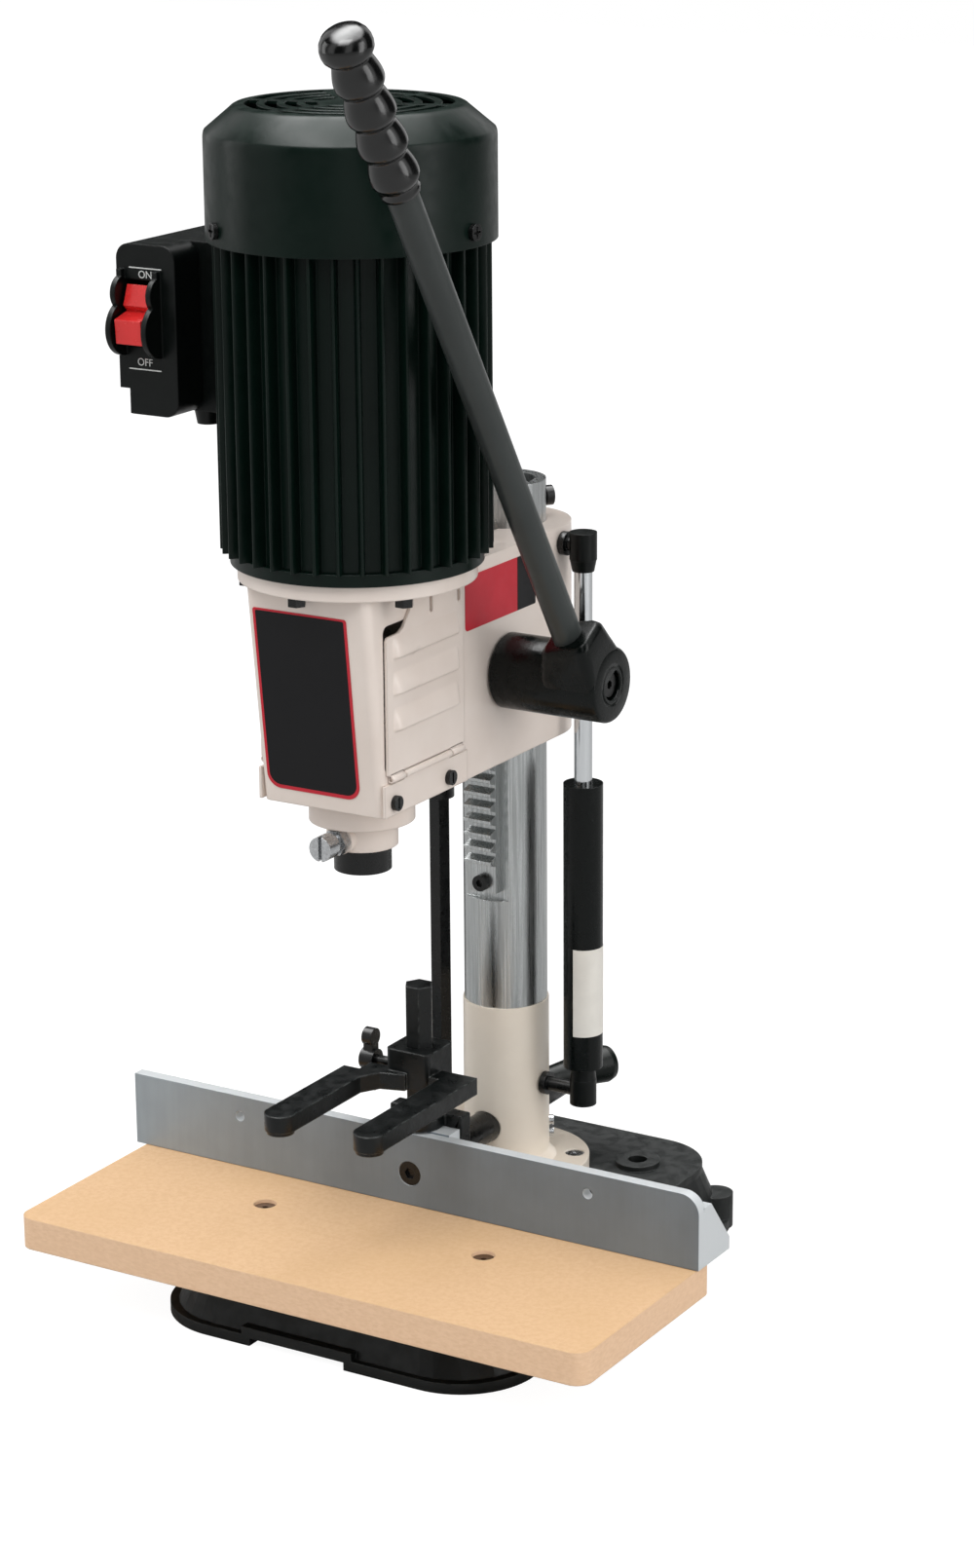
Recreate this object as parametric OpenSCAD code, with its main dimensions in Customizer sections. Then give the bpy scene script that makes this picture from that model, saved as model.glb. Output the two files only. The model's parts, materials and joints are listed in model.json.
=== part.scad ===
// Benchtop hollow-chisel mortiser. Millimetres, +Z up, front is -Y.
// The origin is where the column's axis meets the bench.

/* [Base casting] */
// Width of the base at the bench
base_w = 224; // [200:1:240]
// Reach of the base in front of the column axis
base_front = 205; // [195:1:215]
// Reach of the base behind the column axis
base_rear = 95; // [85:1:110]
// Corner radius of the base
base_corner = 44; // [30:1:48]
// Height of the seat that carries the table board
seat_h = 34.8; // [30:0.1:38]
// Height of the plateau that carries the column, above the table seat
plateau_rise = 4.2; // [2:0.1:8]
// Wall thickness of the base
base_wall = 8; // [6:0.5:10]
// Inward lean of the base's sides from bench to seat
base_draft = 10; // [4:1:16]
// Height of the rim along the bench
rim_h = 6; // [4:0.5:8]
// Width of the arch in the front rim
arch_w = 60; // [40:1:80]
// Height of the arch in the front rim
arch_h = 4.5; // [2:0.5:6]
// Distance of each bench bolt hole from the middle
bench_bolt_x = 63; // [58:1:75]
// Distance of the bench bolt holes behind the column axis
bench_bolt_y = 40; // [35:1:50]
// Radius of the bench bolt holes
bench_bolt_r = 5.5; // [4:0.1:6.5]

/* [Table board] */
// Width of the board
board_w = 355.6; // [340:0.1:380]
// Depth of the board
board_d = 139; // [125:1:150]
// Thickness of the board
board_t = 18; // [15:0.5:22]
// Corner radius of the board
board_corner = 9; // [3:1:16]
// Distance of each board screw from the middle
board_screw_x = 70; // [60:1:78]
// Distance of the board screws in front of the column axis
board_screw_y = 142; // [135:1:150]

/* [Column] */
// Radius of the column
column_r = 23.35; // [22:0.05:24]
// Wall thickness of the column tube
column_wall = 6; // [5:0.5:8]
// Height of the column's top above the bench
column_top = 440; // [435:1:455]
// Radius of the support's flange
flange_r = 47; // [45:0.5:50]
// Thickness of the support's flange
flange_t = 8.2; // [6:0.2:10]
// Height of the support's sleeve above the bench
sleeve_top = 143; // [138:1:150]
// Length of the column that sits in the sleeve
column_plug = 42; // [35:1:46]
// Number of screws in the support's flange
flange_screws = 4; // [3:1:6]

/* [Rack and pinion] */
// Gear module
gear_module = 2.5; // [2.4:0.01:2.55]
// Teeth on the pinion
pinion_teeth = 26; // [25:1:26]
// Width of the rack
rack_w = 17; // [14:0.5:18]
// Height of the rack's lower end above the bench
rack_bottom = 211; // [205:1:214]
// Height of the pinion's axis above the bench
pinion_z = 351.5; // [350:0.1:353]
// Gap between the flanks of rack and pinion
backlash = 0.35; // [0.25:0.01:0.5]

/* [Head] */
// Width of the head casting
head_w = 74; // [72:0.5:78]
// Reach of the head's front face from the column axis, at its underside
head_front = 182; // [180:0.5:184]
// Forward lean of the head's front face, in degrees
front_lean = 6.2; // [4:0.1:8]
// Underside of the head above the bench
head_bottom = 301; // [298:1:303]
// Top of the head above the bench
head_top = 417; // [415:1:420]
// Distance of the motor and chisel axis in front of the column axis
chisel_y = 145; // [143:0.5:147]
// Wall thickness of the head
head_wall = 6; // [5:0.5:7]
// Radius of the round flange that carries the motor
motor_flange_r = 61.5; // [60:0.5:64]
// Thickness of that flange, on top of the head
flange_h = 8.5; // [7:0.5:10]
// Radius of the bore that takes the chisel shank
chisel_bore_r = 7.95; // [7:0.05:8.5]
// Radius of the chisel bushing's collar
bushing_r = 15.2; // [14:0.1:17]
// Longest travel of the head down the column
head_travel = 112; // [100:1:112]

/* [Motor] */
// Radius over the cooling fins
fin_r = 70; // [68:0.5:71]
// Number of cooling fins
fin_count = 36; // [28:1:40]
// Thickness of one fin
fin_t = 2.6; // [2:0.1:3.5]
// Height of the black end bell
bell_h = 6.5; // [6:0.5:9]
// Height of the finned housing
housing_h = 157.5; // [150:0.5:165]
// Radius of the fan cover
cover_r = 73; // [72.5:0.5:76]
// Height of the fan cover
cover_h = 66.5; // [60:0.5:72]
// Width of the bevel round the fan cover's top
cover_bevel = 16; // [10:1:20]
// Height of that bevel
cover_bevel_h = 12.5; // [8:0.5:18]

/* [Lever] */
// Lean of the lever in front of vertical, at rest
lever_lean = 32; // [25:1:40]
// Reach of the grip's end from the hub's axis
lever_reach = 421; // [380:1:430]
// Length of the ribbed grip
grip_len = 95; // [80:1:110]
// Radius of the lever
lever_r = 8; // [7:0.5:9]
// Radius of the hub
hub_r = 20.5; // [19:0.5:21.5]
// Outer end of the hub from the middle of the machine
hub_end = 102; // [100:1:106]
// Distance of the lever from the middle of the machine
lever_x = 85; // [83.5:0.5:87]

/* [Gas spring] */
// Distance of the gas spring's axis from the column's
gas_x = 50; // [49:0.5:53]
// Radius of the gas spring's tube
gas_tube_r = 11; // [10:0.5:12]
// Radius of the gas spring's rod
gas_rod_r = 5; // [4:0.25:6]
// Height of the lower ball stud
gas_low_z = 95; // [92:1:100]
// Height of the upper ball stud
gas_high_z = 408; // [405:1:411]
// Top end of the gas spring's tube
gas_tube_top = 275; // [274:1:278]

/* [Fence] */
// Length of the fence
fence_len = 363; // [345:1:375]
// Height of the fence
fence_h = 42; // [38:1:46]
// Distance of the fence's face in front of the column axis
fence_y = 104; // [102:1:106]
// Thickness of the fence's upright plate
fence_t = 7; // [6:0.5:9]
// Depth of the fence's foot
fence_foot = 35; // [30:1:40]
// Radius of the rod that carries the fence
rod_r = 9; // [8:0.25:9.5]
// Height of the rod's axis above the bench
rod_z = 71.5; // [70:0.5:74]

/* [Hold-down] */
// Distance across the flats of the hexagonal post
post_flats = 14; // [12:0.5:15]
// Distance of the post in front of the column axis
post_y = 92; // [91:0.5:93]
// Top of the post above the bench
post_top = 178; // [174:1:184]
// Distance between the middles of the two fork arms
fork_span = 56; // [54:1:60]
// Width of one fork arm
fork_arm_w = 17; // [14:0.5:18]
// Underside of the fork arms above the bench
fork_z = 121; // [119:1:123]

/* [Depth stop] */
// Distance across the flats of the stop rod
stop_flats = 11; // [10:0.5:12]
// Distance of the stop rod to the left of the column axis
stop_x = 46; // [45:0.5:48]
// Height of the stop collar above the bench, at rest
collar_z = 252; // [248:1:254]

/* [Fits] */
// Gap of a running fit, on the radius
run_gap = 0.05; // [0.03:0.01:0.08]
// Gap between parts that are bolted or pressed together
seat_gap = 0.05; // [0.02:0.01:0.1]
// Gap between the fence and the board it slides on
slide_gap = 0.3; // [0.2:0.05:0.5]

/* [Hidden] */
$fn = 64;

// Small overlap that keeps a cut clean
cut = 1;
// Colours
cream = [0.87, 0.83, 0.80];
black_paint = [0.10, 0.11, 0.11];
steel = [0.62, 0.63, 0.64];
bright = [0.80, 0.80, 0.82];
board_tan = [0.91, 0.75, 0.57];
switch_red = [0.80, 0.12, 0.12];

// Base
plateau_h = seat_h + plateau_rise;
plateau_front = -62;
boss_r = 13;
boss_h = 3;
column_boss_r = flange_r + 3;
arch_x = -9;
ear_r = 10;
ear_h = 20;
ear_y = 66;
top_inset = base_draft + 4;

// Board and its screws
board_rear = -85;
board_front = board_rear - board_d;
board_bottom = seat_h;
board_top = board_bottom + board_t;
board_head_r = 6.2;
board_shank_r = 3;
board_screw_len = 30;
board_sink = 2;
seat_boss_r = 9;

// Column and support
flange_top = plateau_h + flange_t;
sleeve_r = column_r + 0.85;
spigot_r = column_r - 3;
column_bottom = sleeve_top - column_plug;
flange_screw_ring = 38.6;
flange_screw_turn = 30.7;
flange_screw_r = 3;
flange_head_r = 5.5;
flange_sink = 0.6;
flange_screw_len = 24;
support_screw_r = 3;
support_screw_z = [59, 66];
support_screw_turn = 37;
top_screw_r = 3.5;
top_screw_z = column_top - 12;
top_screw_turn = 52;

// Rack and pinion: the pitch line, tips and roots follow from the gear module
pitch = PI * gear_module;
addendum = gear_module;
dedendum = 1.25 * gear_module;
pressure = 20;
rack_back = column_r - 4.35;
pitch_line = rack_back + 8.5;
pinion_r = gear_module * pinion_teeth / 2;
pinion_y = pitch_line + pinion_r;
pinion_tip_r = pinion_r + addendum;
pinion_w = 15;
shaft_r = 10;
rack_tail = 13;
rack_low = rack_bottom;
rack_high = pinion_z + 40;
rack_first = ceil((rack_low + rack_tail - pinion_z) / pitch - 0.5);
rack_last = floor((rack_high - 16 - pinion_z) / pitch - 0.5);
rack_screw_r = 2.6;
rack_head_r = 4.6;
rack_screw_low = rack_low + 5.8;
rack_screw_high = rack_high - 6;

// Head
head_half = head_w / 2;
head_corner = 5;
cavity_top = head_top - 6;
cavity_bottom = head_bottom + 8;
cavity_front = 178.5;
cavity_rear = chisel_y - 38;
window_front = 180;
window_rear = chisel_y - 33;
window_low = head_bottom + 23;
window_high = head_top - 16;
nose_r = 27.8;
nose_h = 14;
throat_r = 18.8;
throat_h = 14;
nose_bottom = head_bottom - nose_h - throat_h;
bushing_stem_r = 11.5;
collar_h = 13.4;
collar_bottom = nose_bottom - collar_h;
lock_z = nose_bottom + 7;
lock_r = 4;
lock_head_r = 6.6;
shaft_bush_r = 13;
stop_collar_h = 16;
lug_low = collar_z + stop_collar_h + head_travel + 3;
lug_h = 15;

// Motor
motor_z = head_top + flange_h;
housing_z = motor_z + bell_h;
cover_z = housing_z + housing_h;
cover_top = cover_z + cover_h;
bell_r = 65;
housing_r = 62;
housing_bore = 55;
spigot_ring_r = 40;
spigot_ring_h = 5;
motor_shaft_r = 7.5;
bearing_r = 17.5;
bearing_h = 11;
motor_bolt_turns = [-57, 0, 57];
motor_bolt_ring = 56.3;
rotor_r = 29;
core_low = housing_z + 34;
core_high = housing_z + 116;
fan_low = cover_z + 8;
stator_gap = 0.6;
cover_wall = 2;
grille_r = cover_r - cover_bevel - 5;
cover_screw_turns = [-33, 87, 207];
cover_screw_z = cover_z + 8;
cover_screw_r = 4.2;

// Chuck
chuck_top = 386;
chuck_len = 46;
chuck_r = 16.5;
chuck_sleeve_r = 20.5;
jaw_out = 7;
jaw_r = 9;
jaw_tip_r = 5;
bit_r = 3;

// Switch
box_left = 115;
box_right = 62;
lid_right = 79;
box_front = 176;
box_rear = 108;
box_low = 497;
box_high = 584;
box_round = 8;
lid_t = 11;
lid_front = box_front + 11;
rocker_x = -100.5;
rocker_w = 17;
rocker_z = 549;
rocker_len = 32;
rocker_pivot = 5;
rocker_pin_r = 1.6;

// Lever
hub_start = head_half + 0.4;
boss_reach = 28;
grip_r = 9.4;
grip_swell = 1.7;
grip_bulges = 4;
grip_ball_r = 13;

// Gas spring
gas_wall = 1.5;
gas_tube_low = gas_low_z + 15;
gas_bore = gas_tube_r - gas_wall;
piston_h = 10;
piston_top = gas_tube_top - 12;
stud_r = 4;
socket_r = 7.5;
rod_top = gas_high_z - 14;

// Fence and hold-down
fence_z = board_top + slide_gap;
fence_top = fence_z + fence_h;
fence_x = -2.5;
foot_t = 7;
fence_hole_x = 112;
fence_hole_r = 3;
fence_hole_z = fence_top - 12;
rod_back = 62;
hump_w = 44;
hump_d = 10;
hump_top = fence_top + 1;
bracket_w = 46;
bracket_t = 10;
bracket_z = rod_z + rod_r + 4;
bracket_cap = 7;
bracket_top = hump_top + seat_gap + bracket_cap;
bracket_screw_x = 14;
bracket_front = -fence_y + fence_t + hump_d + seat_gap;
post_r = post_flats / sqrt(3);
fork_t = 9.5;
fork_tip = 195;
fork_heel = 92;
block_half = 13.5;
block_corner = 3;
block_low = fork_z;
block_high = fork_z + 22;
knob_x = -27;
knob_z = block_high - 14;
knob_arm = 13;
knob_lobe = 5;
knob_sweep = knob_arm + knob_lobe + 0.5;
pad_r = 7.5;
pad_t = 2;

// Chuck doors
door_x = head_half + 0.3;
door_t = 1.6;
hinge_x = door_x + 1.6;
hinge_z = head_bottom + 20;
door_front = -179.5;
door_rear = -105.5;
door_top = head_top - 3.5;
knuckle_r = 1.9;
louvre_first = head_bottom + 45.5;
louvre_pitch = 19;
louvre_half = 31;
door_slots = [-136.8, -110];

// Fence lock
lock_turn = 68;
fence_lock_z = rod_z + 13.5;
stud_len_in = 12;
grip_start = 30;
grip_end = 75;

// Depth stop
stop_y = 5;
stop_r = stop_flats / sqrt(3);
stop_low = 54;
stop_high = head_top + 12;
stop_lug_low = 56;
stop_lug_h = 20;
collar_r = stop_x - head_half - 0.4;

// Rounded rectangle from corner (x0, y0) to corner (x1, y1)
module rounded(x0, y0, x1, y1, r) {
    translate([x0 + r, y0]) square([x1 - x0 - 2 * r, y1 - y0]);
    translate([x0, y0 + r]) square([x1 - x0, y1 - y0 - 2 * r]);
    for (x = [x0 + r, x1 - r], y = [y0 + r, y1 - r]) translate([x, y]) circle(r);
}

// Upright slab with rounded corners
module slab(x0, y0, x1, y1, r, z0, z1) {
    translate([0, 0, z0]) linear_extrude(z1 - z0) rounded(x0, y0, x1, y1, r);
}

// Upright cylinder standing at height z0
module post(r, z0, z1) {
    translate([0, 0, z0]) cylinder(r = r, h = z1 - z0);
}

// Cylinder along X from x0 to x1
module bar_x(r, x0, x1) {
    translate([x0, 0, 0]) rotate([0, 90, 0]) cylinder(r = r, h = x1 - x0);
}

// Cylinder along Y from y0 to y1
module bar_y(r, y0, y1) {
    translate([0, y0, 0]) rotate([-90, 0, 0]) cylinder(r = r, h = y1 - y0);
}

// Hexagonal bar of a given distance across its flats
module hex_bar(flats, z0, z1) {
    translate([0, 0, z0]) cylinder(r = flats / sqrt(3), h = z1 - z0, $fn = 6);
}

// Socket-head screw pointing down -Z, its head's underside at the origin
module socket_screw(r, length, head_r, head_h) {
    difference() {
        union() {
            translate([0, 0, -length]) cylinder(r = r, h = length);
            cylinder(r = head_r, h = head_h);
        }
        translate([0, 0, head_h * 0.45])
            cylinder(r = head_r * 0.5, h = head_h, $fn = 6);
    }
}

// Countersunk screw pointing down -Z, its head's flat top at the origin
module flat_screw(r, length, head_r) {
    sink = head_r - r;
    difference() {
        union() {
            translate([0, 0, -length]) cylinder(r = r, h = length);
            translate([0, 0, -sink]) cylinder(r1 = r, r2 = head_r, h = sink);
        }
        translate([0, 0, -sink * 0.6]) cylinder(r = r * 0.6, h = sink, $fn = 6);
    }
}

// Hole that takes a countersunk screw
module flat_hole(r, length, head_r, above) {
    sink = head_r - r;
    translate([0, 0, -length - cut]) cylinder(r = r + seat_gap, h = length + cut);
    translate([0, 0, -sink]) cylinder(r1 = r + seat_gap, r2 = head_r + seat_gap, h = sink);
    cylinder(r = head_r + seat_gap, h = above);
}

// Where things sit
module at_chisel() { translate([0, -chisel_y, 0]) children(); }
module at_pinion() { translate([0, -pinion_y, pinion_z]) children(); }
module at_gas() { translate([gas_x, 0, 0]) children(); }
module at_stop_rod() { translate([-stop_x, stop_y, 0]) children(); }
module at_post() { translate([0, -post_y, 0]) children(); }
module at_board_screws() {
    for (side = [-1, 1]) translate([side * board_screw_x, -board_screw_y, 0]) children();
}
module at_flange_screws() {
    for (k = [0 : flange_screws - 1])
        rotate([0, 0, flange_screw_turn + k * 360 / flange_screws])
            translate([flange_screw_ring, 0, 0]) children();
}
module both_sides() {
    children();
    mirror([1, 0, 0]) children();
}

// ---- Stand ----

module base_outline(inset) {
    r = base_corner - inset / 2;
    rounded(-base_w / 2 + inset, -base_front + inset, base_w / 2 - inset, base_rear - inset, r);
}

module base_shell(grow, z0, z1) {
    hull() {
        translate([0, 0, z0]) linear_extrude(0.01) base_outline(3 + grow, $fn = 32);
        translate([0, 0, z1 - 0.01]) linear_extrude(0.01) base_outline(top_inset + grow, $fn = 32);
    }
}

module base_casting() {
    color(black_paint) difference() {
        union() {
            difference() {
                union() {
                    linear_extrude(rim_h) base_outline(0);
                    base_shell(0, rim_h / 2, seat_h);
                    translate([arch_x - arch_w / 2 - 5, -base_front, arch_h])
                        cube([arch_w + 10, base_corner / 2, rim_h]);
                    both_sides() translate([base_w / 2 - 12, ear_y, 0]) cylinder(r = ear_r, h = ear_h);
                }
                base_shell(base_wall, -cut, seat_h - base_wall);
                translate([arch_x - arch_w / 2, -base_front - cut, -cut])
                    cube([arch_w, base_corner, arch_h + cut]);
            }
            intersection() {
                slab(-base_w, plateau_front, base_w, base_rear, 1, seat_h - cut, plateau_h);
                linear_extrude(plateau_h) base_outline(top_inset);
            }
            both_sides() translate([bench_bolt_x, bench_bolt_y, 0]) post(boss_r, 0, plateau_h + boss_h);
            cylinder(r = column_boss_r, h = plateau_h);
            at_board_screws() post(seat_boss_r, board_bottom + board_t - board_screw_len - 4, seat_h);
        }
        both_sides() translate([bench_bolt_x, bench_bolt_y, -cut])
            cylinder(r = bench_bolt_r, h = plateau_h + boss_h + 2 * cut);
        at_flange_screws() post(flange_screw_r + seat_gap, plateau_h - flange_screw_len, plateau_h + cut);
        at_board_screws()
            post(board_shank_r + seat_gap, board_top - board_sink - board_screw_len - 1, seat_h + cut);
    }
}

module table_board() {
    color(board_tan) difference() {
        slab(-board_w / 2, board_front, board_w / 2, board_rear, board_corner,
            board_bottom, board_top);
        at_board_screws() translate([0, 0, board_top - board_sink])
            flat_hole(board_shank_r, board_t, board_head_r, board_sink + cut);
    }
}

module table_screws() {
    color(steel) at_board_screws() translate([0, 0, board_top - board_sink])
        flat_screw(board_shank_r, board_screw_len, board_head_r);
}

module column_support() {
    color(cream) difference() {
        union() {
            post(flange_r, plateau_h, flange_top);
            post(sleeve_r, plateau_h, sleeve_top);
            translate([0, 0, flange_top - 0.01]) cylinder(r1 = sleeve_r + 4, r2 = sleeve_r, h = 5);
            translate([-stop_x - 10, stop_y - 11, stop_lug_low]) cube([stop_x, 22, stop_lug_h]);
        }
        post(spigot_r + seat_gap, column_bottom - seat_gap, sleeve_top + cut);
        translate([0, 0, rod_z]) bar_y(rod_r + run_gap, -flange_r, rod_back + cut);
        at_flange_screws() translate([0, 0, flange_top - flange_sink])
            flat_hole(flange_screw_r, flange_t, flange_head_r, flange_sink + cut);
        at_stop_rod() hex_bar(stop_flats + 2 * seat_gap, stop_low, stop_lug_low + stop_lug_h + cut);
        rotate([0, 0, lock_turn]) translate([0, 0, fence_lock_z])
            bar_x(4 + run_gap, stud_len_in - 1, sleeve_r + cut);
        for (z = support_screw_z) rotate([0, 0, support_screw_turn]) translate([0, 0, z])
            bar_x(support_screw_r + seat_gap, sleeve_r - 8, sleeve_r + cut);
        translate([0, 0, gas_low_z]) bar_x(stud_r + seat_gap, spigot_r + 0.5, sleeve_r + cut);
        translate([-stop_x + 13, 0, stop_lug_low + stop_lug_h / 2])
            bar_y(2.5 + seat_gap, stop_y - 12, stop_y + 7);
    }
}

module flange_bolts() {
    color(steel) at_flange_screws() translate([0, 0, flange_top - flange_sink])
        flat_screw(flange_screw_r, flange_screw_len, flange_head_r);
}

// Two set screws behind the sleeve and the bolt that clamps the stop rod
module support_screws() {
    color(steel) {
        for (z = support_screw_z) rotate([0, 0, support_screw_turn]) translate([0, 0, z])
            difference() {
                bar_x(support_screw_r, sleeve_r - 7.5, sleeve_r + 2.5);
                translate([sleeve_r + 1, 0, 0]) rotate([0, 90, 0])
                    cylinder(r = support_screw_r * 0.55, h = 4, $fn = 6);
            }
        translate([-stop_x + 13, stop_y - 11, stop_lug_low + stop_lug_h / 2]) rotate([90, 0, 0])
            socket_screw(2.5, 17, 5, 5);
    }
}

module column_tube() {
    color(steel) difference() {
        union() {
            post(spigot_r, column_bottom, sleeve_top + cut);
            post(column_r, sleeve_top, column_top);
        }
        post(column_r - column_wall, sleeve_top + 8, column_top + cut);
        post(spigot_r - 5, column_bottom - cut, column_top);
        translate([-column_r, -2 * column_r, rack_low - 5])
            cube([2 * column_r, 2 * column_r - rack_back, column_top]);
        for (z = [rack_screw_low, rack_screw_high]) translate([0, 0, z])
            bar_y(rack_screw_r + seat_gap, -column_r, -column_r + column_wall + 4);
        rotate([0, 0, top_screw_turn]) translate([0, 0, top_screw_z])
            bar_x(top_screw_r + seat_gap, 0, column_r + cut);
    }
}

module top_stop_screw() {
    color(black_paint) rotate([0, 0, top_screw_turn]) translate([0, 0, top_screw_z]) difference() {
        union() {
            bar_x(top_screw_r, column_r - column_wall - 6, column_r + 2);
            bar_x(5.5, column_r + 0.6, column_r + 5);
        }
        translate([column_r + 3, 0, 0]) rotate([0, 90, 0]) cylinder(r = 2.4, h = 4, $fn = 6);
    }
}

// One rack tooth in the (Y, Z) plane, its middle at z = 0 and its tip towards -Y
module rack_tooth() {
    half = pitch / 4 - backlash / 2;
    tip = half - addendum * tan(pressure);
    root = half + dedendum * tan(pressure);
    polygon([[0, -root], [dedendum + addendum, -tip], [dedendum + addendum, tip], [0, root]]);
}

module rack() {
    root_y = pitch_line - dedendum;
    color(steel) difference() {
        union() {
            translate([-rack_w / 2, -root_y, rack_low])
                cube([rack_w, root_y - rack_back - seat_gap, rack_high - rack_low]);
            for (k = [rack_first : rack_last])
                translate([rack_w / 2, -root_y + 0.01, pinion_z + (k + 0.5) * pitch])
                    rotate([0, 0, 180]) rotate([90, 0, 90]) linear_extrude(rack_w) rack_tooth();
        }
        for (z = [rack_screw_low, rack_screw_high]) translate([0, 0, z])
            bar_y(rack_screw_r + seat_gap, -pitch_line - 10, -rack_back + cut);
    }
}

module rack_screws() {
    root_y = pitch_line - dedendum;
    color(black_paint) for (z = [rack_screw_low, rack_screw_high])
        translate([0, -root_y - seat_gap, z]) rotate([90, 0, 0])
            socket_screw(rack_screw_r, root_y - rack_back + 6, rack_head_r, 3.6);
}

module stop_rod() {
    color(black_paint) at_stop_rod() hex_bar(stop_flats, stop_low + 1, stop_high);
}

// Ball stud along X from x0, with a shoulder against what it is screwed into
module ball_stud(x0, seat_depth) {
    bar_x(stud_r, x0 - seat_depth, gas_x);
    bar_x(stud_r + 2.5, x0 + 0.4, x0 + 4);
    translate([gas_x, 0, 0]) sphere(r = stud_r + 1);
}

// Socket that closes over a ball stud and carries the rod or the tube
module ball_socket(up, reach, neck_r) {
    mirror([0, 0, up ? 0 : 1]) difference() {
        union() {
            translate([0, 0, -socket_r]) cylinder(r = socket_r, h = 2 * socket_r);
            translate([0, 0, socket_r - cut])
                cylinder(r1 = socket_r, r2 = neck_r, h = reach - socket_r + cut);
        }
        sphere(r = stud_r + 1 + seat_gap);
        bar_x(stud_r + 0.6, -2 * socket_r, 0);
    }
}

module gas_lower_stud() {
    color(black_paint) translate([0, 0, gas_low_z]) ball_stud(sleeve_r, 3);
}

module gas_lower_socket() {
    color(black_paint) at_gas() translate([0, 0, gas_low_z])
        ball_socket(true, gas_tube_low - gas_low_z - seat_gap, socket_r - 1);
}

module gas_tube() {
    color(black_paint) at_gas() difference() {
        post(gas_tube_r, gas_tube_low, gas_tube_top);
        post(gas_bore, gas_tube_low + 5, gas_tube_top - 8);
        post(gas_rod_r + run_gap, gas_tube_low + 6, gas_tube_top + cut);
    }
}

// ---- Fence and hold-down ----

// Front view of the fence's upright plate, with its right top corner rounded
module fence_plate() {
    half = fence_len / 2;
    r = 11;
    translate([-half, 0]) square([fence_len - r, fence_h]);
    translate([-half, 0]) square([fence_len, fence_h - r]);
    translate([half - r, fence_h - r]) circle(r);
}

module fence_casting() {
    half = fence_len / 2;
    back = fence_foot - fence_t;
    color(steel) translate([fence_x, -fence_y, fence_z]) difference() {
        union() {
            translate([0, fence_t, 0]) rotate([90, 0, 0]) linear_extrude(fence_t) fence_plate();
            translate([-half, 0, 0]) cube([fence_len, fence_foot, foot_t]);
            for (x = [-half, half - 5]) translate([x, 0, 0]) rotate([90, 0, 90]) linear_extrude(5)
                polygon([[fence_t - 1, 0], [fence_foot, 0], [fence_foot, foot_t],
                    [fence_t + back * 0.25, fence_h * 0.8], [fence_t - 1, fence_h * 0.8]]);
            translate([-fence_x - hump_w / 2, fence_t - 1, 0])
                cube([hump_w, hump_d + 1, hump_top - fence_z]);
        }
        for (side = [-1, 1]) translate([side * fence_hole_x - fence_x, 0, fence_hole_z - fence_z])
            bar_y(fence_hole_r, -cut, fence_t + cut);
        translate([-fence_x, 0, rod_z - fence_z]) {
            bar_y(4 + seat_gap, -cut, fence_t + hump_d + 2);
            bar_y(7 + seat_gap, -cut, 4);
        }
        for (side = [-1, 1]) translate([side * bracket_screw_x - fence_x, 0, fence_h - 6])
            bar_y(2.5 + seat_gap, 5, fence_t + hump_d + 2);
    }
}

module fence_rod() {
    color(black_paint) translate([0, 0, rod_z]) difference() {
        bar_y(rod_r, bracket_front, rod_back);
        bar_y(4 + seat_gap, -fence_y, -fence_y + fence_t + 30);
    }
}

// Socket screw that pulls the rod against the fence, and two that hold the bracket
module fence_screws() {
    color(black_paint) {
        translate([0, -fence_y + 4 - seat_gap, rod_z]) rotate([90, 0, 0])
            socket_screw(4, 30, 6.8, 3.6);
        for (side = [-1, 1])
            translate([side * bracket_screw_x, bracket_front + bracket_t + seat_gap, fence_top - 6])
                rotate([-90, 0, 0]) socket_screw(2.5, bracket_t + hump_d - 1, 4.4, 3);
    }
}

module holddown_bracket() {
    color(black_paint) difference() {
        union() {
            translate([-bracket_w / 2, bracket_front, bracket_z])
                cube([bracket_w, bracket_t, bracket_top - bracket_z]);
            at_post() post(post_r + 4.5, bracket_top - bracket_cap, bracket_top);
            translate([-post_r - 4.5, -post_y, bracket_top - bracket_cap])
                cube([2 * post_r + 9, bracket_front + bracket_t + post_y, bracket_cap]);
        }
        at_post() hex_bar(post_flats + 2 * seat_gap, bracket_z, bracket_top + cut);
        for (side = [-1, 1]) translate([side * bracket_screw_x, 0, fence_top - 6])
            bar_y(2.5 + seat_gap, bracket_front - cut, bracket_front + bracket_t + cut);
    }
}

module holddown_post() {
    color(black_paint) at_post() hex_bar(post_flats, bracket_top - bracket_cap, post_top);
}

// One arm along Y, from its rounded tip back to a given distance, with a pad under the tip
module fork_arm(heel) {
    translate([fork_span / 2 - fork_arm_w / 2, -fork_tip, fork_z]) {
        translate([0, fork_arm_w / 2, 0]) cube([fork_arm_w, fork_tip - heel - fork_arm_w / 2, fork_t]);
        translate([fork_arm_w / 2, fork_arm_w / 2, 0]) cylinder(r = fork_arm_w / 2, h = fork_t);
        translate([fork_arm_w / 2, fork_arm_w / 2, -pad_t]) cylinder(r = pad_r, h = pad_t + cut);
    }
}

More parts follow.
